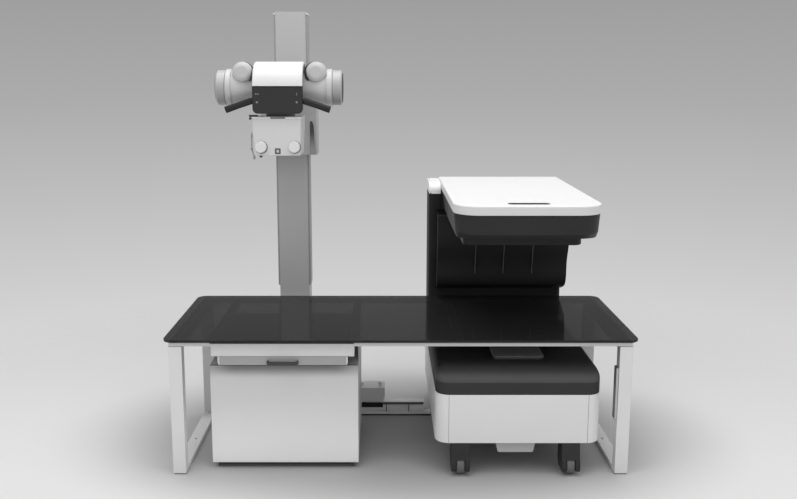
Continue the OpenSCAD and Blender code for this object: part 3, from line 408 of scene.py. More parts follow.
def bare(name, level, axis, gloss=0.3):
    """Ground or drawn metal: fine scratches that run along one axis change its gloss."""
    metal = Finish(bpy.data.materials.new(name))
    drawn = [900.0, 900.0, 900.0]
    drawn[axis] = 12.0
    scratch = metal.noise(metal.add("VectorMath", {"operation": "MULTIPLY"},
                                    {0: metal.place(), 1: drawn}), 1.0, 2)
    return metal.surface({
        "Base Color": metal.blend(scratch, grey(level - 12), grey(level + 8)),
        "Metallic": 0.9, "Roughness": gloss - 0.08 + 0.16 * scratch,
        "Normal": metal.bump(scratch, 1e-5)})


low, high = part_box("frame_screws")
head = 0.0055
screw = [(0, 0.0006), (0.0026, 0.0006), (0.0026, 0.0024), (0.0040, 0.0024), (0.0052, 0.0017),
         (head, 0.0006), (head, 0), (0, 0)]
build("bar_screws", [turned(screw, (x, y, low[2])) for x in (low[0] + head, high[0] - head)
                     for y in (low[1] + head, high[1] - head)],
      "table", bare("screw_steel", 190, 2), ["frame_screws"])

# ---- Hand switch ----------------------------------------------------------------------
# A slim box of grey moulded plastic screwed to the inner side of the right front leg. Its face
# towards the operator is a lighter cover plate.


def moulded(name, level, gloss=0.45, grain=1100, depth=4e-5, edge=0.0, blue=0, shine=0.5,
            mark=None):
    """Moulded plastic, with the fine spark grain of its mould. shine is low where the mould is
    etched matt."""
    return coated(name, level, 3, 4.0, 0.3, (gloss - 0.06, 0.12, 14), (grain, depth), edge, mark,
                  (0, blue), shine)


low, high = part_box("hand_switch_box")
build("switch_body", [slab((low[0], low[1] + 0.002, low[2]), high, 0.003, 0.002)],
      "table", moulded("switch_plastic", 95), ["hand_switch_box"])
build("switch_plate", [slab((low[0] + 0.001, low[1], low[2] + 0.002),
                            (high[0] - 0.001, low[1] + 0.0035, high[2] - 0.002),
                            0.002, 0.001, axis=1)],
      "table", moulded("switch_cover_plastic", 190))

# ---- Tray housing and image tray --------------------------------------------------------
# Folded sheet steel under the left half of the table, powder coated. The tray slides forward
# on two runners by a dark bar handle, and carries the flat detector under the grid.
dress(painted("housing_powder_coat", 226, 0.4, 0.0012), "tray_housing")
low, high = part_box("tray_housing")
frame_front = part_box("top_frame")[0][1]
dark_line_z = high[2] + 0.0145
# A thin dark strip runs along the frame's face above the housing.
build("housing_seam", [slab((low[0], frame_front - 0.0011, dark_line_z - 0.003),
                            (high[0], frame_front + 0.004, dark_line_z + 0.003),
                            0.0006, 0.0004, axis=1, steps=2)],
      "table", moulded("seam_gasket", 50, 0.6))
tray_low, tray_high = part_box("image_tray")
tray_middle, tray_half = (tray_low[0] + tray_high[0]) / 2, (tray_high[0] - tray_low[0]) / 2


def tray_ends(place):
    """Mask of the dark gap beside each end of the tray."""
    from_middle = abs(place.along("X") - tray_middle)
    return from_middle.between(tray_half - 0.0062, tray_half - 0.0050) * 0.85


dress(painted("tray_powder_coat", 172, 0.36, 0.004, mark=tray_ends), "image_tray")
dress(bare("runner_zinc", 150, 1), "tray_runners")
dress(bare("grid_aluminium", 170, 0, 0.4), "anti_scatter_grid")
dress(moulded("detector_carbon", 42, 0.35, edge=0.002), "detector_panel")


def swept(section, path):
    """Bar or wall along a level path: at each point of the path the section's (s, z) goes s to
    the left of the way and to height z."""
    way = np.gradient(path, axis=0)
    way = way / np.linalg.norm(way, axis=1)[:, None]
    side = np.stack([-way[:, 1], way[:, 0]], 1)
    flat = path[:, None, :] + side[:, None, :] * section[None, :, :1]
    level = np.broadcast_to(section[None, :, 1:], (len(path), len(section), 1))
    return np.concatenate([flat, level], 2)


low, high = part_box("tray_handle")
middle_z = (low[2] + high[2]) / 2
grip = 0.0045
bend = rounded(low[0] + grip, high[0] - grip, low[1] + grip, high[1] + 0.2, 0.008, 6)
bend = bend.reshape(4, -1, 2)
handle_path = np.concatenate([[[low[0] + grip, high[1]]], bend[0], bend[1],
                              [[high[0] - grip, high[1]]]])
build("tray_bar", [swept(rounded(-grip, grip, middle_z - 0.008, middle_z + 0.008, 0.003, 4),
                         handle_path)],
      "tray", moulded("handle_plastic", 62, 0.35), ["tray_handle"])

end_x, foot_corner = tray_half - 0.0105, (0.0085, 0.018)
end_caps = [slab((x - 0.005, tray_low[1] - 0.0012, tray_low[2] + 0.0005),
                 (x + 0.005, tray_low[1] + 0.012, tray_high[2] - 0.001),
                 radii, 0.0015, axis=1, steps=6)
            for x, radii in [(tray_middle - end_x, [foot_corner, 0.001, 0.001, 0.003]),
                             (tray_middle + end_x, [0.001, foot_corner, 0.003, 0.001])]]
build("tray_end_caps", end_caps, "tray", painted("tray_end_enamel", 216, 0.3))

# ---- Cabinet --------------------------------------------------------------------------
# A sheet-steel box on a recessed black plinth, powder coated pale grey, with one plain lift-off
# front. It houses the generator, a hammer-painted tank.
low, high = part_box("cabinet_body")


def shaded_top(place):
    """Mask of the cabinet's top plate under the tray, painted dark as the tray's shade."""
    return place.along("Z").between(high[2] - 0.0012, high[2] - 0.0003) \
        * place.along("Y").between(low[1] + 0.005, low[1] + 0.070) * 0.9


panel_foot, panel_top = (corner[2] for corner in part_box("cabinet_front_panel"))


def shaded_front(place):
    """Mask of painted shade on the front panel: a slow rise towards its top and a steep one under
    the tray, weaker towards the ends."""
    height, from_middle = place.along("Z"), abs(place.along("X") - tray_middle)
    across = from_middle.between(tray_half + 0.05, tray_half - 0.08)
    return height.between(panel_foot + 0.02, panel_top - 0.11) * 0.25 \
        + height.between(panel_top - 0.066, panel_top - 0.004) * (0.33 + 0.24 * across)


def ramp(axis, start, end, depth):
    """Gives a mask that goes from 0 at start to depth at end, along one axis."""
    return lambda place: place.along(axis).between(start, end) * depth


dress(painted("cabinet_powder_coat", 232, 0.42, 0.0015, mark=shaded_top), "cabinet_body")
dress(painted("cabinet_front_coat", 251, 0.42, 0.004, mark=shaded_front), "cabinet_front_panel")
dress(painted("generator_hammer_coat", 120, 0.35, 0.003, peel=2e-4), "generator_unit")
# The plinth is painted darker towards its top, as shade under the cabinet, and lighter at its
# foot.
dress(painted("plinth_coat", 104, 0.6, 0.001, mark=ramp("Z", 0.001, 0.019, 0.95)),
      "cabinet_plinth")

# ---- Floor rail and tube stand ------------------------------------------------------------
# An extruded aluminium rail is bolted to the floor behind the table. A carriage with a drive
# box rolls on it and carries the tall column, whose sides have ground steel guides.
dress(painted("rail_anodised", 246, 0.35, 0.001), "floor_rail")
low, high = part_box("floor_rail")
rail_face, rail_top = low[1] - 0.0012, high[2]
belt_x, flange_x = -0.082, high[0] + 0.036


def strip(x0, x1, z0, z1, deep=0.006):
    """Flat bar on the rail's face."""
    return slab((x0, rail_face, z0), (x1, rail_face + deep, z1), 0.0006, 0.0004, axis=1, steps=2)


build("rail_belt", [strip(belt_x, high[0] - 0.006, rail_top - 0.0120, rail_top - 0.0005),
                    *[strip(x, x + 0.0050, 0.018, rail_top - 0.0125) for x in (-0.066, 0.056)]],
      "table", moulded("rail_belt_plastic", 96, 0.5))
build("rail_lip", [strip(low[0] + 0.05, belt_x - 0.001, rail_top - 0.028, rail_top - 0.0005),
                   slab((low[0], rail_face - 0.014, 0.0002), (flange_x, rail_face, 0.0030),
                        0.002, 0.0004, steps=2)],
      "table", moulded("rail_lip_rubber", 24, 0.6))
build("rail_flange", [strip(low[0], flange_x, 0.0032, 0.0130, 0.05),
                      strip(0.067, high[0] + 0.004, 0.036, rail_top - 0.0130)],
      "table", painted("rail_flange_anodised", 254, 0.35))
dress(painted("drive_box_coat", 222, 0.4, 0.003), "drive_box")
dress(painted("carriage_coat", 190, 0.4, 0.003), "stand_carriage")
dress(painted("column_powder_coat", 190, 0.36, 0.004), "stand_column")
dress(painted("guide_grey_coat", 166, 0.4, 0.001), "guide_rails")
low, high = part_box("guide_rails")
build("guide_caps", [slab((x - 0.002, low[1] - 0.003, high[2] + 0.0003),
                          (x + 0.011, high[1], high[2] + 0.0075), 0.002, 0.001, steps=3)
                     for x in (low[0], high[0] - 0.009)],
      "stand", painted("guide_cap_enamel", 232, 0.35))
dress(painted("weight_primer", 90, 0.7), "counterweight")

# ---- Lift carriage --------------------------------------------------------------------
# A welded and painted box that climbs the column on rollers and carries the tube on a trunnion.
# A dark cover on its front beside the collimator is painted shade, where that front lies in
# shadow.
cover_low, cover_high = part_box("lift_side_cover")
lift_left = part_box("lift_carriage")[0][0]


def trunnion_shade(place):
    """Mask of painted shade round the trunnion, above the collimator and inside the flange."""
    x, deep = place.along("X"), abs(place.along("Y") - cover_high[1])
    return x.between(cover_high[0] - 0.022, cover_high[0] - 0.030) \
        * x.between(lift_left + 0.003, lift_left + 0.006) * deep.between(0.010, 0.006) \
        * place.along("Z").between(cover_high[2] - 0.004, cover_high[2] + 0.030) * 0.62


dress(painted("lift_powder_coat", 180, 0.38, 0.003, mark=trunnion_shade), "lift_carriage")
# The cover's painted shade grows darker from its foot to its top.
dress(moulded("lift_cover_plastic", 156, 0.5, edge=0.002,
              mark=ramp("Z", cover_low[2] + 0.01, cover_high[2] - 0.04, 0.90)), "lift_side_cover")

# ---- X-ray tube -----------------------------------------------------------------------
# A cast aluminium housing, enamelled near white: a waisted barrel with a raised ring at each
# end, deep end caps, and two stub sockets for the high-voltage cables.


def arc(centre, radius, start, end, steps):
    """Points of a circle's arc, from one angle in degrees to another."""
    a = np.radians(np.linspace(start, end, steps + 1))
    return np.stack([centre[0] + radius * np.cos(a), centre[1] + radius * np.sin(a)], 1)


def softened(points, reach, closed=True, steps=5):
    """Outline with its corners rounded: from a point a, reach before each corner p, to a point
    b, reach after it, runs the curve (1 - s)^2 a + 2 s (1 - s) p + s^2 b."""
    p = np.asarray(points, float)
    reach = np.broadcast_to(reach, len(p))[:, None]
    before, after = np.roll(p, 1, 0) - p, np.roll(p, -1, 0) - p
    s = np.linspace(0, 1, steps + 1)[None, :, None]
    a, b = (p + d * reach / np.linalg.norm(d, axis=1)[:, None] for d in (before, after))
    curve = (1 - s)**2 * a[:, None] + 2 * s * (1 - s) * p[:, None] + s**2 * b[:, None]
    if closed:
        return curve.reshape(-1, 2)
    return np.concatenate([p[:1], curve[1:-1].reshape(-1, 2), p[-1:]])


pivots = {joint["name"]: np.array(joint["pos_m"])
          for joint in frame["record"]["behaviour"]["joints"] if "pos_m" in joint}
tube_axis = pivots["tube_rotate"]


def spun(points, reach, centre, axis, steps, hollow=False):
    """Body of revolution from a profile with its corners rounded."""
    return turned(softened(points, reach, closed=hollow), centre, axis, steps, hollow)


def under_shade(depth):
    """Mask of painted shade on the tube's lower half, which the light from above leaves darker.
    """
    return ramp("Z", tube_axis[2] + 0.07, tube_axis[2] - 0.09, depth)


cap_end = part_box("tube_end_caps")[1][0] - tube_axis[0]
port_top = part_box("collimator_housing")[1][2] + 0.0005
waist_r, body_r, ring_r = 0.068, 0.082, 0.0895
ring_x, cap_x = 0.228, 0.2555
flare = np.linspace(0, 1, 9)
half_barrel = np.concatenate([
    [(waist_r, 0.0), (waist_r, 0.126)],
    np.stack([waist_r + (body_r - waist_r) * flare**2 * (3 - 2 * flare), 0.13 + 0.08 * flare], 1),
    softened([(body_r, ring_x - 0.004), (body_r, ring_x), (ring_r, ring_x),
              (ring_r, cap_x - 0.003), (body_r, cap_x - 0.003), (body_r, cap_x), (0, cap_x)],
             0.0015, closed=False),
])
barrel = np.concatenate([half_barrel[:0:-1] * (1, -1), half_barrel[1:]])
socket_r, socket_l, boss_r, bore_r, cap_r, vent_r = 0.049, 0.098, 0.052, 0.0225, 0.0835, 0.070
build("tube_barrel", [
    turned(barrel, tube_axis, 0, 64),
    spun([(bore_r, 0.055), (boss_r, 0.055), (boss_r, 0.1755), (bore_r, 0.1755)], 0.002,
         tube_axis, 1, 48, hollow=True),
], "tube", painted("tube_enamel", 208, 0.34, peel=1e-5, mark=under_shade(0.18)),
    ["tube_housing"])
build("cable_sockets", [
    spun([(0, 0), (0.028, 0), (0.043, 0.009), (socket_r, 0.026), (socket_r, socket_l),
          (0, socket_l)], 0.004, tube_axis + (x, -0.092, 0.074), 1, 48)
    for x in (-0.1695, 0.1795)],
    "tube", painted("socket_enamel", 200, 0.34, peel=1e-5))
cap = softened([(0, cap_x + 0.0008), (cap_r, cap_x + 0.0008), (cap_r, cap_end - 0.010),
                (0.075, cap_end - 0.003), (vent_r, cap_end - 0.003), (vent_r, cap_end - 0.006),
                (0, cap_end - 0.006)], 0.0025, closed=False)
build("tube_caps", [turned(cap * (1, way), tube_axis, 0, 64) for way in (-1, 1)],
      "tube", painted("cap_enamel", 190, 0.34, peel=1e-5, mark=under_shade(0.42)),
      ["tube_end_caps"])
vent = softened([(0, cap_end - 0.0065), (vent_r - 0.0005, cap_end - 0.0065),
                 (vent_r - 0.0005, cap_end - 0.001), (0, cap_end)], 0.001, closed=False)
dark_trim_and_shade = moulded("tube_trim_plastic", 42, 0.4)
# Two dark rings behind the cable sockets, set a little inwards and down, are painted shade round
# the sockets; dark vents close the cap ends.
build("tube_trim", [
    *[turned([(0.030, 0), (0.0525, 0), (0.0525, 0.006), (0.030, 0.006)],
             tube_axis + (x, -0.060, 0.0705), 1, 48, hollow=True) for x in (-0.1660, 0.1740)],
    *[turned(vent * (1, way), tube_axis, 0, 48) for way in (-1, 1)],
], "tube", dark_trim_and_shade)
build("port_collar", [
    spun([(0.050, 0), (0.070, 0), (0.070, 0.012), (0.064, 0.014), (0.064, 0.05), (0.050, 0.05)],
         0.001, (*tube_axis[:2], port_top), 2, 48, hollow=True)],
    "tube", moulded("collar_plastic", 104, 0.45))

# ---- Head cover -----------------------------------------------------------------------
# One white moulding that arches over the tube from the panel to the back, clipped to ribs on
# the barrel. Its side rims are rolled inwards.
low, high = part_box("head_cover")
cover_r, rim = high[1] - tube_axis[1], 0.009
front_angle = 180 - math.degrees(math.asin((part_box("control_panel")[1][2] + 0.0003
                                            - tube_axis[2]) / cover_r))


def arch(outer, inner):
    """Arched band seen from the side, round the tube's axis, with a straight skirt behind."""
    return np.concatenate([arc(tube_axis[1:], outer, front_angle, 0, 40),
                           tube_axis[1:] + [(outer, -0.060), (inner, -0.060)],
                           arc(tube_axis[1:], inner, 0, front_angle, 40)])


cover_wall = 0.010
a = np.linspace(0, np.pi / 2, 7)
insets, rises = rim * (1 - np.sin(a)), rim * (1 - np.cos(a))
build("cover_shell", [raised(
    [arch(cover_r - d, cover_r - cover_wall) for d in [*insets, *insets[::-1]]],
    [*(low[0] + rises), *(high[0] - rises[::-1])], axis=0)],
    "tube", moulded("cover_white_plastic", 234, 0.34, depth=1e-6),
    ["head_cover"], crease=50)
build("cover_end_plates", [
    solid(arch(cover_r - cover_wall - 0.0004, waist_r + 0.001), x, x + 0.002, 0.0003, axis=0)
    for x in (low[0] + 0.002, high[0] - 0.004)], "tube", dark_trim_and_shade)

# ---- Control panel --------------------------------------------------------------------
# A dark moulded case with rounded lower corners in front of the tube. Its membrane face has a
# few small printed marks beside the touch fields.
low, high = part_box("control_panel")
case_depth = 0.034
middle = (low[0] + high[0]) / 2
build("panel_case", [
    slab((low[0], low[1] + 0.0006, low[2]), (high[0], low[1] + case_depth, high[2]),
         [0.024, 0.024, 0.003, 0.003], 0.005, axis=1, steps=10, rim_steps=5),
    slab((middle - 0.045, low[1] + case_depth - 0.002, low[2] + 0.094),
         (middle + 0.045, tube_axis[1] - 0.060, high[2] - 0.004), 0.004, 0.001, axis=1),
], "tube", moulded("panel_case_plastic", 46, 0.42), ["control_panel"])
build("panel_face", [slab((low[0] + 0.008, low[1], low[2] + 0.008),
                          (high[0] - 0.008, low[1] + 0.004, high[2] - 0.007),
                          [0.018, 0.018, 0.003, 0.003], 0.0005, axis=1, steps=8)],
      "tube", moulded("panel_membrane", 50, 0.34, depth=2e-6, blue=1))
y, dash_z, dot_z = low[1] - 0.0002, low[2] + 0.0920, low[2] + 0.0538
marks = [slab((x - w, y, z - h), (x + w, y + 0.001, z + h), 0.0006, 0.0001, axis=1, steps=3)
         for x, w, z, h in [(middle - 0.1005, 0.0034, dash_z, 0.0026),
                            (middle - 0.0905, 0.0034, dash_z, 0.0026),
                            (middle + 0.091, 0.0014, dash_z - 0.0005, 0.0060)]]
marks += [turned([(0, 0), (0.0047, 0), (0.0047, 0.001), (0, 0.001)], (x, y, dot_z), 1, 20)
          for x in (middle - 0.096, middle + 0.091)]
build("panel_marks", marks, "tube", moulded("mark_ink", 145, 0.5, depth=1e-6))

# ---- Handlebars -----------------------------------------------------------------------
# Two short round grips of black rubber over steel, which slope down and outwards from the
# panel's sides. They swing and turn the head.
low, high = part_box("handlebars")


def tilted(rows, centre, degrees):
    """Rows of points turned about a line through centre along Y: x and z by cos and sin."""
    c, s = math.cos(math.radians(degrees)), math.sin(math.radians(degrees))
    rest = rows - centre
    return np.stack([rest[..., 0] * c + rest[..., 2] * s, rest[..., 1],
                     rest[..., 2] * c - rest[..., 0] * s], -1) + centre


slope, grip_l, grip_r = 19, 0.136, 0.016
grip_centre = np.array([middle, (low[1] + high[1]) / 2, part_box("control_panel")[1][2] - 0.067])
grip_profile = softened([(0, -0.012), (0.0125, -0.012), (0.0125, 0.004), (grip_r, 0.006),
                         (grip_r - 0.001, grip_l * 0.5), (grip_r, grip_l - 0.012),
                         (grip_r, grip_l), (0, grip_l)], 0.0017, closed=False)
grips = []
for way in (-1, 1):
    root = grip_centre + (way * (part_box("control_panel")[1][0] - middle), 0, 0)
    grips.append(tilted(turned(grip_profile * (1, way), root, 0, 32), root, way * slope))
build("head_grips", grips, "tube", moulded("grip_rubber", 30, 0.55, 700, 1e-4),
      ["handlebars"])

# ---- Collimator -----------------------------------------------------------------------
# A painted sheet-metal box that tapers downwards and turns under the tube port. Its lid is a
# wider plate with a slot for the light field's mirror key; a clear window closes it below.
low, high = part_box("collimator_housing")
coll_x = (pivots["knob_left_turn"][0] + pivots["knob_right_turn"][0]) / 2
top_left, foot_left, top_right, foot_right = 0.122, 0.1095, 0.1145, 0.1065
coll_front, coll_back = low[1], high[1]
rim, z_top = 0.004, high[2] - 0.010
heights = np.array([low[2], low[2] + 0.0012, low[2] + rim, z_top])
insets = np.array([rim, rim * 0.3, 0, 0])
rise = (heights - low[2]) / (z_top - low[2])
box_rows = raised([rounded(coll_x - foot_left - (top_left - foot_left) * t + d,
                           coll_x + foot_right + (top_right - foot_right) * t - d,
                           coll_front + d, coll_back - d, 0.007, 6)
                   for t, d in zip(rise, insets)], heights)
build("collimator_box", [box_rows], "collimator",
      painted("collimator_enamel", 220, 0.36, peel=1e-5), ["collimator_housing"])
build("collimator_lid", [
    slab((coll_x - 0.1415, coll_front - 0.004, z_top - 0.0005),
         (coll_x + top_right + 0.001, coll_back + 0.004, high[2]), 0.006, 0.0015, steps=6)],
    "collimator", painted("collimator_lid_enamel", 226, 0.34, peel=1e-5))
y = coll_front - 0.0044
trim = [slab((coll_x - 0.032, y, z_top + 0.0016), (coll_x + 0.038, y + 0.002, z_top + 0.0078),
             0.002, 0.0003, axis=1),
        slab((coll_x - 0.134, coll_front - 0.002, high[2]),
             (coll_x - 0.092, coll_front + 0.012, high[2] + 0.009), 0.002, 0.001),
        turned([(0, 0), (0.006, 0), (0.007, -0.002), (0.007, -0.007), (0.005, -0.009),
                (0, -0.009)], (coll_x - 0.082, coll_front + 0.012, low[2] + 0.0005), 2, 20),
        turned([(0, 0), (0.0065, 0), (0.0065, -0.007), (0.005, -0.009), (0, -0.009)],
               (coll_x - 0.1265, coll_front - 0.003, z_top + 0.003), 1, 20)]
bezel = [rounded(coll_x - w, coll_x + w, low[2] + 0.0223 - w, low[2] + 0.0223 + w,
                 0.002, 4) for w in (0.0130, 0.0105)]
trim.append(raised([bezel[0], bezel[0], bezel[1], bezel[1], bezel[0]],
                   coll_front + np.array([0.001, -0.002, -0.002, 0.001, 0.001]), axis=1))
# Dark rings behind the knobs, set off to the lower right, are painted shadows of the knobs.
trim += [turned([(0.0200, 0), (0.0300, 0), (0.0300, 0.0012), (0.0200, 0.0012)],
                pivots[f"knob_{side}_turn"] * (1, 0, 1)
                + (0.0012, coll_front - 0.0010, -0.0012), 1, 40, hollow=True)
         for side in ("left", "right")]
build("collimator_trim", trim, "collimator",
      moulded("collimator_trim_plastic", 60, 0.45))

glass = Finish(bpy.data.materials.new("window_acrylic"))
place = glass.place()
dress(glass.surface({
    "Base Color": glass.blend(glass.noise(place, 40, 3), grey(205, -6, 4), grey(222, -6, 4)),
    "Roughness": 0.04 + 0.08 * glass.noise(place, 60, 3), "Alpha": 0.45}), "collimator_window")

# Two white knobs with finger lobes set the shutters, a square key lights the lamp, and a thin
# lever on the left frees the box to turn.
knob_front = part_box("shutter_knob_left")[0][1]
knob_plastic = moulded("knob_white_plastic", 232, 0.36, depth=1e-6)
a = np.linspace(0, 2 * np.pi, 72, endpoint=False)
lobes = 1 - 0.07 * (0.5 + 0.5 * np.cos(6 * a))**2
depths = np.array([0, 0.0008, 0.003, 0.009, 0.010, 0.0215])
radii = np.array([0.0222, 0.0250, 0.0266, 0.0272, 0.0280, 0.0280])
for side in ("left", "right"):
    centre = pivots[f"knob_{side}_turn"]
    radius = radii[:, None] * (1 - (1 - lobes) * np.array([0, .6, 1, 1, 0.2, 0])[:, None])
    ring = np.stack([radius * np.cos(a), radius * np.sin(a)], -1) + (centre[0], centre[2])
    knob = raised(ring, knob_front + depths, axis=1)
    shaft = turned([(0, 0), (0.005, 0), (0.005, 0.017), (0, 0.017)],
                   (centre[0], knob_front + 0.0205, centre[2]), 1, 20)
    pointer = slab((centre[0] - 0.0022, knob_front + 0.0130, centre[2] + 0.010),
                   (centre[0] + 0.0022, knob_front + 0.0215, centre[2] + 0.0290),
                   0.0015, 0.0008, axis=1, steps=3)
    build(f"shutter_knob_{side}_cap", [knob, shaft, pointer], f"knob_{side}",
          knob_plastic, [f"shutter_knob_{side}"])

low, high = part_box("lamp_button")
key_x, key_z = (low[0] + high[0]) / 2, (low[2] + high[2]) / 2


def key_part(half, corner, front, back, rim):
    """Square block about the key's axis."""
    return slab((key_x - half, front, key_z - half), (key_x + half, back, key_z + half),
                corner, rim, axis=1)


build("lamp_key", [key_part(0.0097, 0.002, low[1] + 0.0004, high[1], 0.001)],
      "button", moulded("key_grey_plastic", 104, 0.45), ["lamp_button"])
build("lamp_key_lens", [key_part(0.006, 0.0015, low[1], low[1] + 0.0009, 0.0004)],
      "button", moulded("key_lens_plastic", 205, 0.25, depth=1e-6))

low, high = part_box("side_lever")
swing = pivots["lever_swing"]
x, arm_half = low[0] + 0.0025, 0.0022
spine = (x, swing[2]) + np.array([(0.0015, 0.018), (0, -0.018), (-0.0005, -0.060),
                                  (0.005, -0.080), (0.0090, -0.092)])
arm = softened(np.concatenate([spine - (arm_half, 0), spine[::-1] + (arm_half, 0)]), 0.0018)
hub = turned([(0, 0), (0.008, 0), (0.009, 0.001), (0.009, 0.0045), (0, 0.0045)],
             (low[0] + 0.0005, swing[1], swing[2]), 0, 28)
collar = spun([(0, 0), (0.0052, 0), (0.0060, 0.005), (0.0050, 0.010), (0, 0.010)], 0.001,
              (x - 0.0005, swing[1], swing[2] - 0.065), 2, 24)
build("lever_arm", [solid(arm, swing[1] - 0.0045, swing[1] + 0.0045, 0.001, axis=1), hub, collar],
      "lever", painted("lever_enamel", 150, 0.4), ["side_lever"])
tip = spun([(0, 0), (0.0050, 0), (0.0062, 0.008), (0.0055, 0.019), (0, 0.020)], 0.0012,
           (x + 0.0100, swing[1], swing[2] - 0.109), 2, 24)
build("lever_tip", [tip], "lever", moulded("lever_tip_plastic", 165, 0.4))

# ---- Densitometer base ------------------------------------------------------------------
# A welded steel chassis, painted black, carries bent sheet panels in pale grey. One wide panel
# closes the front; the two side panels run round the corners to the back.
dress(painted("chassis_black_coat", 46, 0.5, 0.002), "base_chassis", "column_frame")
low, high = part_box("base_side_panels")
skirt_top = high[2]
seam_low, seam_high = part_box("base_front_panel")
rear_low, rear_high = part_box("unit_rear_cover")
wall, front_r, rear_r, seam, notch = 0.004, 0.064, 0.020, 0.0012, 0.0405
skirt_paint = painted("skirt_powder_coat", 234, 0.4)
wall_section = rounded(-wall / 2, wall / 2, low[2], high[2], 0.0012, 3)
front_y, rear_y = low[1] + wall / 2, high[1] - wall / 2
way_round = rounded(low[0] + wall / 2, high[0] - wall / 2, front_y, rear_y,
                    [front_r, front_r, rear_r, rear_r], 12).reshape(4, -1, 2)
right_way = np.concatenate([[[seam_high[0] + seam, front_y]], way_round[1], way_round[2],
                            [[rear_high[0] - notch, rear_y]]])
left_way = np.concatenate([[[rear_low[0] + notch, rear_y]], way_round[3], way_round[0],
                           [[seam_low[0] - seam, front_y]]])
build("base_side_skirts", [swept(wall_section, right_way), swept(wall_section, left_way)],
      "unit", skirt_paint, ["base_side_panels"])
build("base_front_skirt", [
    slab((seam_low[0] + seam, seam_low[1], low[2]),
         (seam_high[0] - seam, seam_low[1] + wall, high[2]), 0.002, 0.0012, axis=1)],
    "unit", skirt_paint, ["base_front_panel"])
bolt = [(0, -0.0036), (0.0022, -0.0036), (0.0036, -0.0028), (0.0036, 0), (0, 0)]
build("skirt_seams", [slab((x - 0.0011, seam_low[1] - 0.0002, low[2] + 0.002),
                           (x + 0.0011, seam_low[1] + 0.002, high[2] - 0.001),
                           0.0004, 0.0001, axis=1, steps=2)
                      for x in (seam_low[0], seam_high[0])],
      "unit", moulded("seam_strip_plastic", 165, 0.6))
build("skirt_bolts", [turned(bolt, (x, low[1] + 0.006, low[2] + 0.0002), 2, 16)
                      for x in (seam_low[0] + 0.026, seam_low[0] + 0.089, seam_high[0] - 0.099,
                                seam_high[0] - 0.036)],
      "unit", bare("bolt_steel", 205, 2))

# The top cover is one vacuum-formed charcoal shell: its front rolls over far deeper than its
# sides, and a thin field over the source stands a little proud.
deck_low, deck_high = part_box("base_top_cover")
roll, depth_ratio, side_ratio, plan_r = 0.052, 2.5, 0.55, 0.063
roll_z = deck_high[2] - roll


def deck_shade(place):
    """Mask of painted shade on the deck's upright front and sides and on its flat top, all darker
    than the roll between them.
    """
    x, z = place.along("X"), place.along("Z")
    upright = z.between(roll_z - 0.002, roll_z - 0.008) * 0.54
    top = z.between(roll_z + 0.015, deck_high[2] - 0.012) * 0.30
    left = x.between(deck_low[0] + 0.040, deck_low[0] + 0.014) \
        * place.along("Y").between(deck_low[1] + 0.050, deck_low[1] + 0.120) * 0.88
    right = x.between(deck_high[0] - 0.014, deck_high[0] - 0.008) * 0.60
    return upright | top | left | right


a = np.linspace(0, np.pi / 2, 15)
crowns = [rounded(deck_low[0] + side_ratio * d, deck_high[0] - side_ratio * d,
                  deck_low[1] + depth_ratio * d, deck_high[1],
                  [plan_r - 0.6 * d, plan_r - 0.6 * d, 0.004, 0.004], 12)
          for d in roll * (1 - np.cos(a))]
build("deck_shell", [raised([drawn_in(crowns[0], 0.002), crowns[0], *crowns],
                            [deck_low[2], deck_low[2] + 0.002, *(roll_z + roll * np.sin(a))])],
      "unit",
      moulded("deck_charcoal_plastic", 88, 0.5, 900, 3e-5, shine=0.04, mark=deck_shade),
      ["base_top_cover"])
low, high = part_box("source_window")
dark_edge = ramp("Z", high[2] - 0.0008, high[2] - 0.0030, 0.8)
build("window_field", [slab((low[0] + 0.003, low[1] + 0.005, low[2] - 0.001), high,
                            0.022, 0.004, steps=10, rim_steps=5)],
      "unit", moulded("window_field_plastic", 176, 0.42, mark=dark_edge),
      ["source_window"])
low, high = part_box("cable_box")
trough = softened([(low[0] + 0.012, low[2]), (high[0] - 0.012, low[2]),
                   (high[0], high[2]), (low[0], high[2])], 0.009)
build("cable_trough", [solid(trough, low[1], high[1], 0.003, axis=1)],
      "unit", painted("trough_powder_coat", 190, 0.4), ["cable_box"])

# ---- Densitometer column ----------------------------------------------------------------
# The column at the back is cased in black moulded plastic: a plain lower part, a swelling
# that leans forward under the head, and a shoulder on the left that ends in a white cap.
low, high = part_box("column_front_cover")
pillar_x0, pillar_x1, bulge_x0 = low[0], high[0], low[0] + 0.040
pillar_y, case_back = deck_high[1] + 0.0003, rear_low[1] - 0.0003
head_low, head_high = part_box("head_housing")
lid_low, lid_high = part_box("head_lid")
cap_low, cap_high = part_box("shoulder_cap")
under_head = head_low[2]


def ledge_shade(place):
    """Mask of painted shade on the swelling's left wall and on the narrow ledge on its top,
    beside the head.
    """
    ledge = place.along("Z").between(under_head - 0.0010, under_head)
    side = place.along("X").between(bulge_x0 + 0.0018, bulge_x0 + 0.0008)
    return place.along("Y").between(pillar_y + 0.0005, pillar_y - 0.0030) * (side | ledge) * 0.98


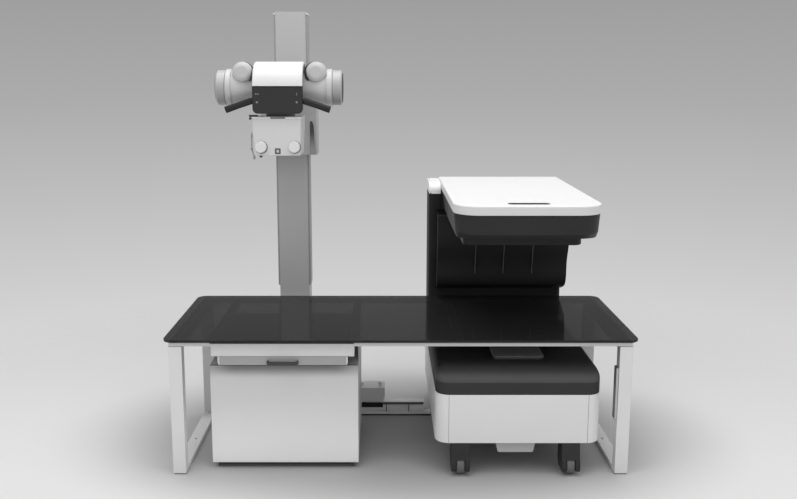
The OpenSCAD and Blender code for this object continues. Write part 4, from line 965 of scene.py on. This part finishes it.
swell = low[1]
belly = swell + 0.046
bulge = softened([
    (belly, under_head - 0.345), (belly + 0.022, under_head - 0.390),
    (belly + 0.079, under_head - 0.416), (pillar_y + 0.006, under_head - 0.438),
    (pillar_y + 0.006, under_head + 0.0005), (swell, under_head + 0.0005),
    (swell, under_head - 0.156), (belly, under_head - 0.260)],
    [0.022, 0.022, 0.022, 0.012, 0.012, 0.012, 0.036, 0.036])
lower = slab((pillar_x0 + 0.001, pillar_y + 0.0005, low[2] + 0.0005),
             (pillar_x1, case_back - 0.0005, under_head - 0.0003),
             [0.025, 0.025, 0.003, 0.003], 0.002, steps=8)
tower = slab((pillar_x0, pillar_y, low[2]), (lid_low[0] - 0.0004, case_back, cap_low[2] - 0.0003),
             [0.025, 0.004, 0.003, 0.003], 0.002, steps=8)
behind_head = slab((lid_low[0] - 0.002, pillar_y + 0.003, under_head - 0.02),
                   (head_low[0] + 0.012, case_back - 0.003, head_high[2] - 0.002),
                   0.001, 0.0005, steps=3)
build("column_shell",
      [lower, solid(bulge, bulge_x0, pillar_x1, 0.0010, axis=0), tower, behind_head],
      "unit",
      moulded("column_black_plastic", 48, 0.5, 900, 3e-5, shine=0.05, mark=ledge_shade),
      ["column_front_cover"])
crest = bulge[(bulge[:, 0] < belly + 0.0001) & (bulge[:, 1] > under_head - 0.352)
              & (bulge[:, 1] < under_head - 0.120)]
rib = np.concatenate([crest - (0.0014, 0), crest[::-1] + (0.002, 0)])
build("column_ribs", [solid(rib, x - 0.0022, x + 0.0022, 0.0004, axis=0)
                      for x in (bulge_x0 + 0.200, bulge_x0 + 0.350, bulge_x0 + 0.503)],
      "unit", moulded("rib_grey_plastic", 105, 0.4))
build("service_plate", [slab((pillar_x0 + 0.010, pillar_y - 0.0012, under_head - 0.272),
                             (pillar_x0 + 0.090, pillar_y + 0.0005, under_head - 0.146),
                             0.004, 0.0006, axis=1)],
      "unit", moulded("plate_plastic", 28, 0.4))
build("rear_panels", [
    slab((rear_low[0] + inset, rear_low[1], z0), (rear_high[0] - inset, rear_high[1], z1),
         corner, 0.0015, axis=1, steps=6)
    for inset, z0, z1, corner in [(0, skirt_top + 0.001, rear_high[2] - 0.0005, 0.012),
                                  (notch, rear_low[2], skirt_top - 0.001, 0.008)]],
    "unit", moulded("rear_black_plastic", 40, 0.42), ["unit_rear_cover"])
cap_r = 0.045
cap_round = np.concatenate([[(cap_high[1], cap_low[2]), (cap_high[1], cap_high[2])],
                            arc((cap_low[1] + cap_r, cap_high[2] - cap_r), cap_r, 90, 180, 12),
                            [(cap_low[1], cap_low[2])]])
build("shoulder_moulding", [
    solid(drawn_in(cap_round, 0.0008), cap_low[0], cap_low[0] + 0.0085, 0.003, axis=0),
    solid(drawn_in(cap_round, 0.005), cap_low[0] + 0.008, cap_low[0] + 0.0115, 0.0003, axis=0),
    solid(cap_round, cap_low[0] + 0.0110, cap_high[0], 0.003, axis=0)],
    "unit", moulded("shoulder_white_plastic", 250, 0.4, depth=1e-6),
    ["shoulder_cap"])

# ---- Densitometer head ------------------------------------------------------------------
# A charcoal tub holds the detector and its rods; a thick white lid closes it, with a dark
# finger slot near the front. A narrower black cover hangs below over the detector's travel.
tub_inset = np.array([0.0, 0.0005, 0.0068, 0.0076, 0.0100, 0.0135, 0.040, 0.044, 0.048])
tub_side = np.array([0.0, 0.0005, 0.0068, 0.0071, 0.0078, 0.0088, 0.0135, 0.0155, 0.0190])
tub_height = [head_high[2], head_high[2] - 0.0010,
              *(under_head + np.array([0.030, 0.027, 0.0235, 0.0205, 0.003, 0.0008, 0]))]
tub_r = 0.112
tub = raised([rounded(head_low[0] + side, head_high[0] - side, head_low[1] + d,
                      head_high[1] - min(d, 0.004),
                      [(tub_r - side, tub_r - d)] * 2 + [0.006] * 2, 14)
              for side, d in zip(tub_side, tub_inset)], tub_height)
# The tub is painted darker towards its left side, as shade.
tub_side_shade = ramp("X", head_low[0] + 0.020, head_low[0] + 0.006, 0.6)
build("head_tub", [tub], "unit",
      moulded("tub_charcoal_plastic", 52, 0.44, 900, 3e-5, shine=0.15, mark=tub_side_shade),
      ["head_housing"])
lid_plan = rounded(lid_low[0], lid_high[0], lid_low[1], lid_high[1],
                   [0.115, 0.115, 0.006, 0.006], 16)
slot_x, slot_half, slot_y = (lid_low[0] + lid_high[0]) / 2 + 0.003, 0.095, lid_low[1] + 0.050
build("lid_moulding", [solid(lid_plan, lid_high[2] - 0.0095, lid_high[2], 0.004, steps=5)],
      "unit", moulded("lid_white_plastic", 252, 0.34, depth=1e-6), ["head_lid"])
build("lid_band", [solid(drawn_in(lid_plan, 0.0004), lid_low[2] + 0.0006, lid_high[2] - 0.008,
                         0.003)],
      "unit", moulded("lid_band_plastic", 226, 0.36, depth=1e-6))
build("lid_slot", [slab((slot_x - slot_half, slot_y, lid_high[2] - 0.001),
                        (slot_x + slot_half, slot_y + 0.048, lid_high[2] + 0.0005),
                        0.0230, 0.0004, steps=8)],
      "unit", moulded("slot_black_plastic", 26, 0.5))
low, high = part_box("head_lower_cover")
build("lower_shell", [slab(low, (high[0] + 0.006, high[1], high[2] - 0.0002),
                           [0.040, 0.040, 0.005, 0.005], 0.006, steps=10, rim_steps=5)],
      "unit", moulded("lower_black_plastic", 34, 0.45, shine=0.3),
      ["head_lower_cover"])

# ---- Scanner inside the covers ----------------------------------------------------------
# Ground rods carry the source below and the detector above; both carriages are milled and
# painted blocks.
dress(bare("rod_ground_steel", 200, 0, 0.2), "base_scan_rods", "head_scan_rods")
dress(painted("scan_block_coat", 118, 0.4, 0.002), "source_carriage", "detector_carriage")

# ---- Casters --------------------------------------------------------------------------
# Four hooded twin-cheek casters in dark nylon. A grey rubber tread runs on each wheel, whose
# centre is the same dark nylon.
nylon = moulded("caster_nylon", 52, 0.5, shine=0.3)
tread_rubber = moulded("tread_grey_rubber", 112, 0.6, 600, 6e-5)
inner, hood_r, arch_r, tread_r, hub_r = 0.0205, 0.056, 0.0535, 0.050, 0.0372
for corner in ("fl", "fr", "rl", "rr"):
    low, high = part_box("caster_hood_" + corner)
    wheel_low, wheel_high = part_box("caster_wheel_" + corner)
    x, axle = (low[0] + high[0]) / 2, np.add(wheel_low, wheel_high)[1:] / 2
    stem_y, hood_top, hood_half = axle[0] + 0.030, high[2] - 0.012, (high[0] - low[0]) / 2
    rear = [(stem_y + 0.010, axle[1] - 0.028), (stem_y + 0.034, axle[1] + 0.010),
            (stem_y + 0.034, hood_top - 0.022), (stem_y + 0.026, hood_top),
            (stem_y - 0.064, hood_top)]
    cheek = softened([*rear, *arc(axle, hood_r, 140, 207, 6)], 0.0045, steps=4)
    bridge = [*rear[1:], *arc(axle, hood_r, 140, 146, 1)]
    saddle = softened([*bridge, *arc(axle, arch_r, 146, 0, 14)], 0.0008, steps=2)
    brow = softened([*bridge, *arc(axle, arch_r, 146, 100, 5), (stem_y + 0.010, axle[1] + 0.054)],
                    0.0008, steps=2)
    pin_l = 2 * hood_half - 0.004
    build("caster_fork_" + corner, [
        solid(cheek, x - hood_half, x - inner, 0.005, axis=0),
        solid(cheek, x + inner, x + hood_half, 0.005, axis=0),
        solid(drawn_in(saddle, 0.0006), x - inner - 0.001, x + inner + 0.001, 0.0002, axis=0),
        solid(drawn_in(brow, -0.0003), x - hood_half + 0.004, x + hood_half - 0.004, 0.002,
              axis=0),
        turned([(0, 0), (0.034, 0), (0.034, 0.012), (0, 0.012)],
               (x, stem_y, hood_top - 0.002), 2, 32),
        turned([(0, 0), (0.006, 0), (0.006, pin_l), (0, pin_l)], (x - pin_l / 2, *axle), 0, 20),
    ], "caster_" + corner, nylon, ["caster_hood_" + corner])
    w = (wheel_high[0] - wheel_low[0]) / 2
    band = [(0.037, 0.002 - w), (0.042, -w), (0.047, -w), (tread_r, 0.005 - w),
            (tread_r, w - 0.005), (0.047, w), (0.042, w), (0.037, w - 0.002)]
    build("caster_tread_" + corner, [spun(band, 0.0018, (x, *axle), 0, 56, hollow=True)],
          "wheel_" + corner, tread_rubber, ["caster_wheel_" + corner])
    hub = [(0.0062, 0.001 - w), (0.016, 0.001 - w), (0.020, 0.005 - w), (hub_r, 0.004 - w),
           (hub_r, w - 0.004), (0.020, w - 0.005), (0.016, w - 0.001), (0.0062, w - 0.001)]
    build("caster_hub_" + corner, [spun(hub, 0.001, (x, *axle), 0, 40, hollow=True)],
          "wheel_" + corner, nylon)
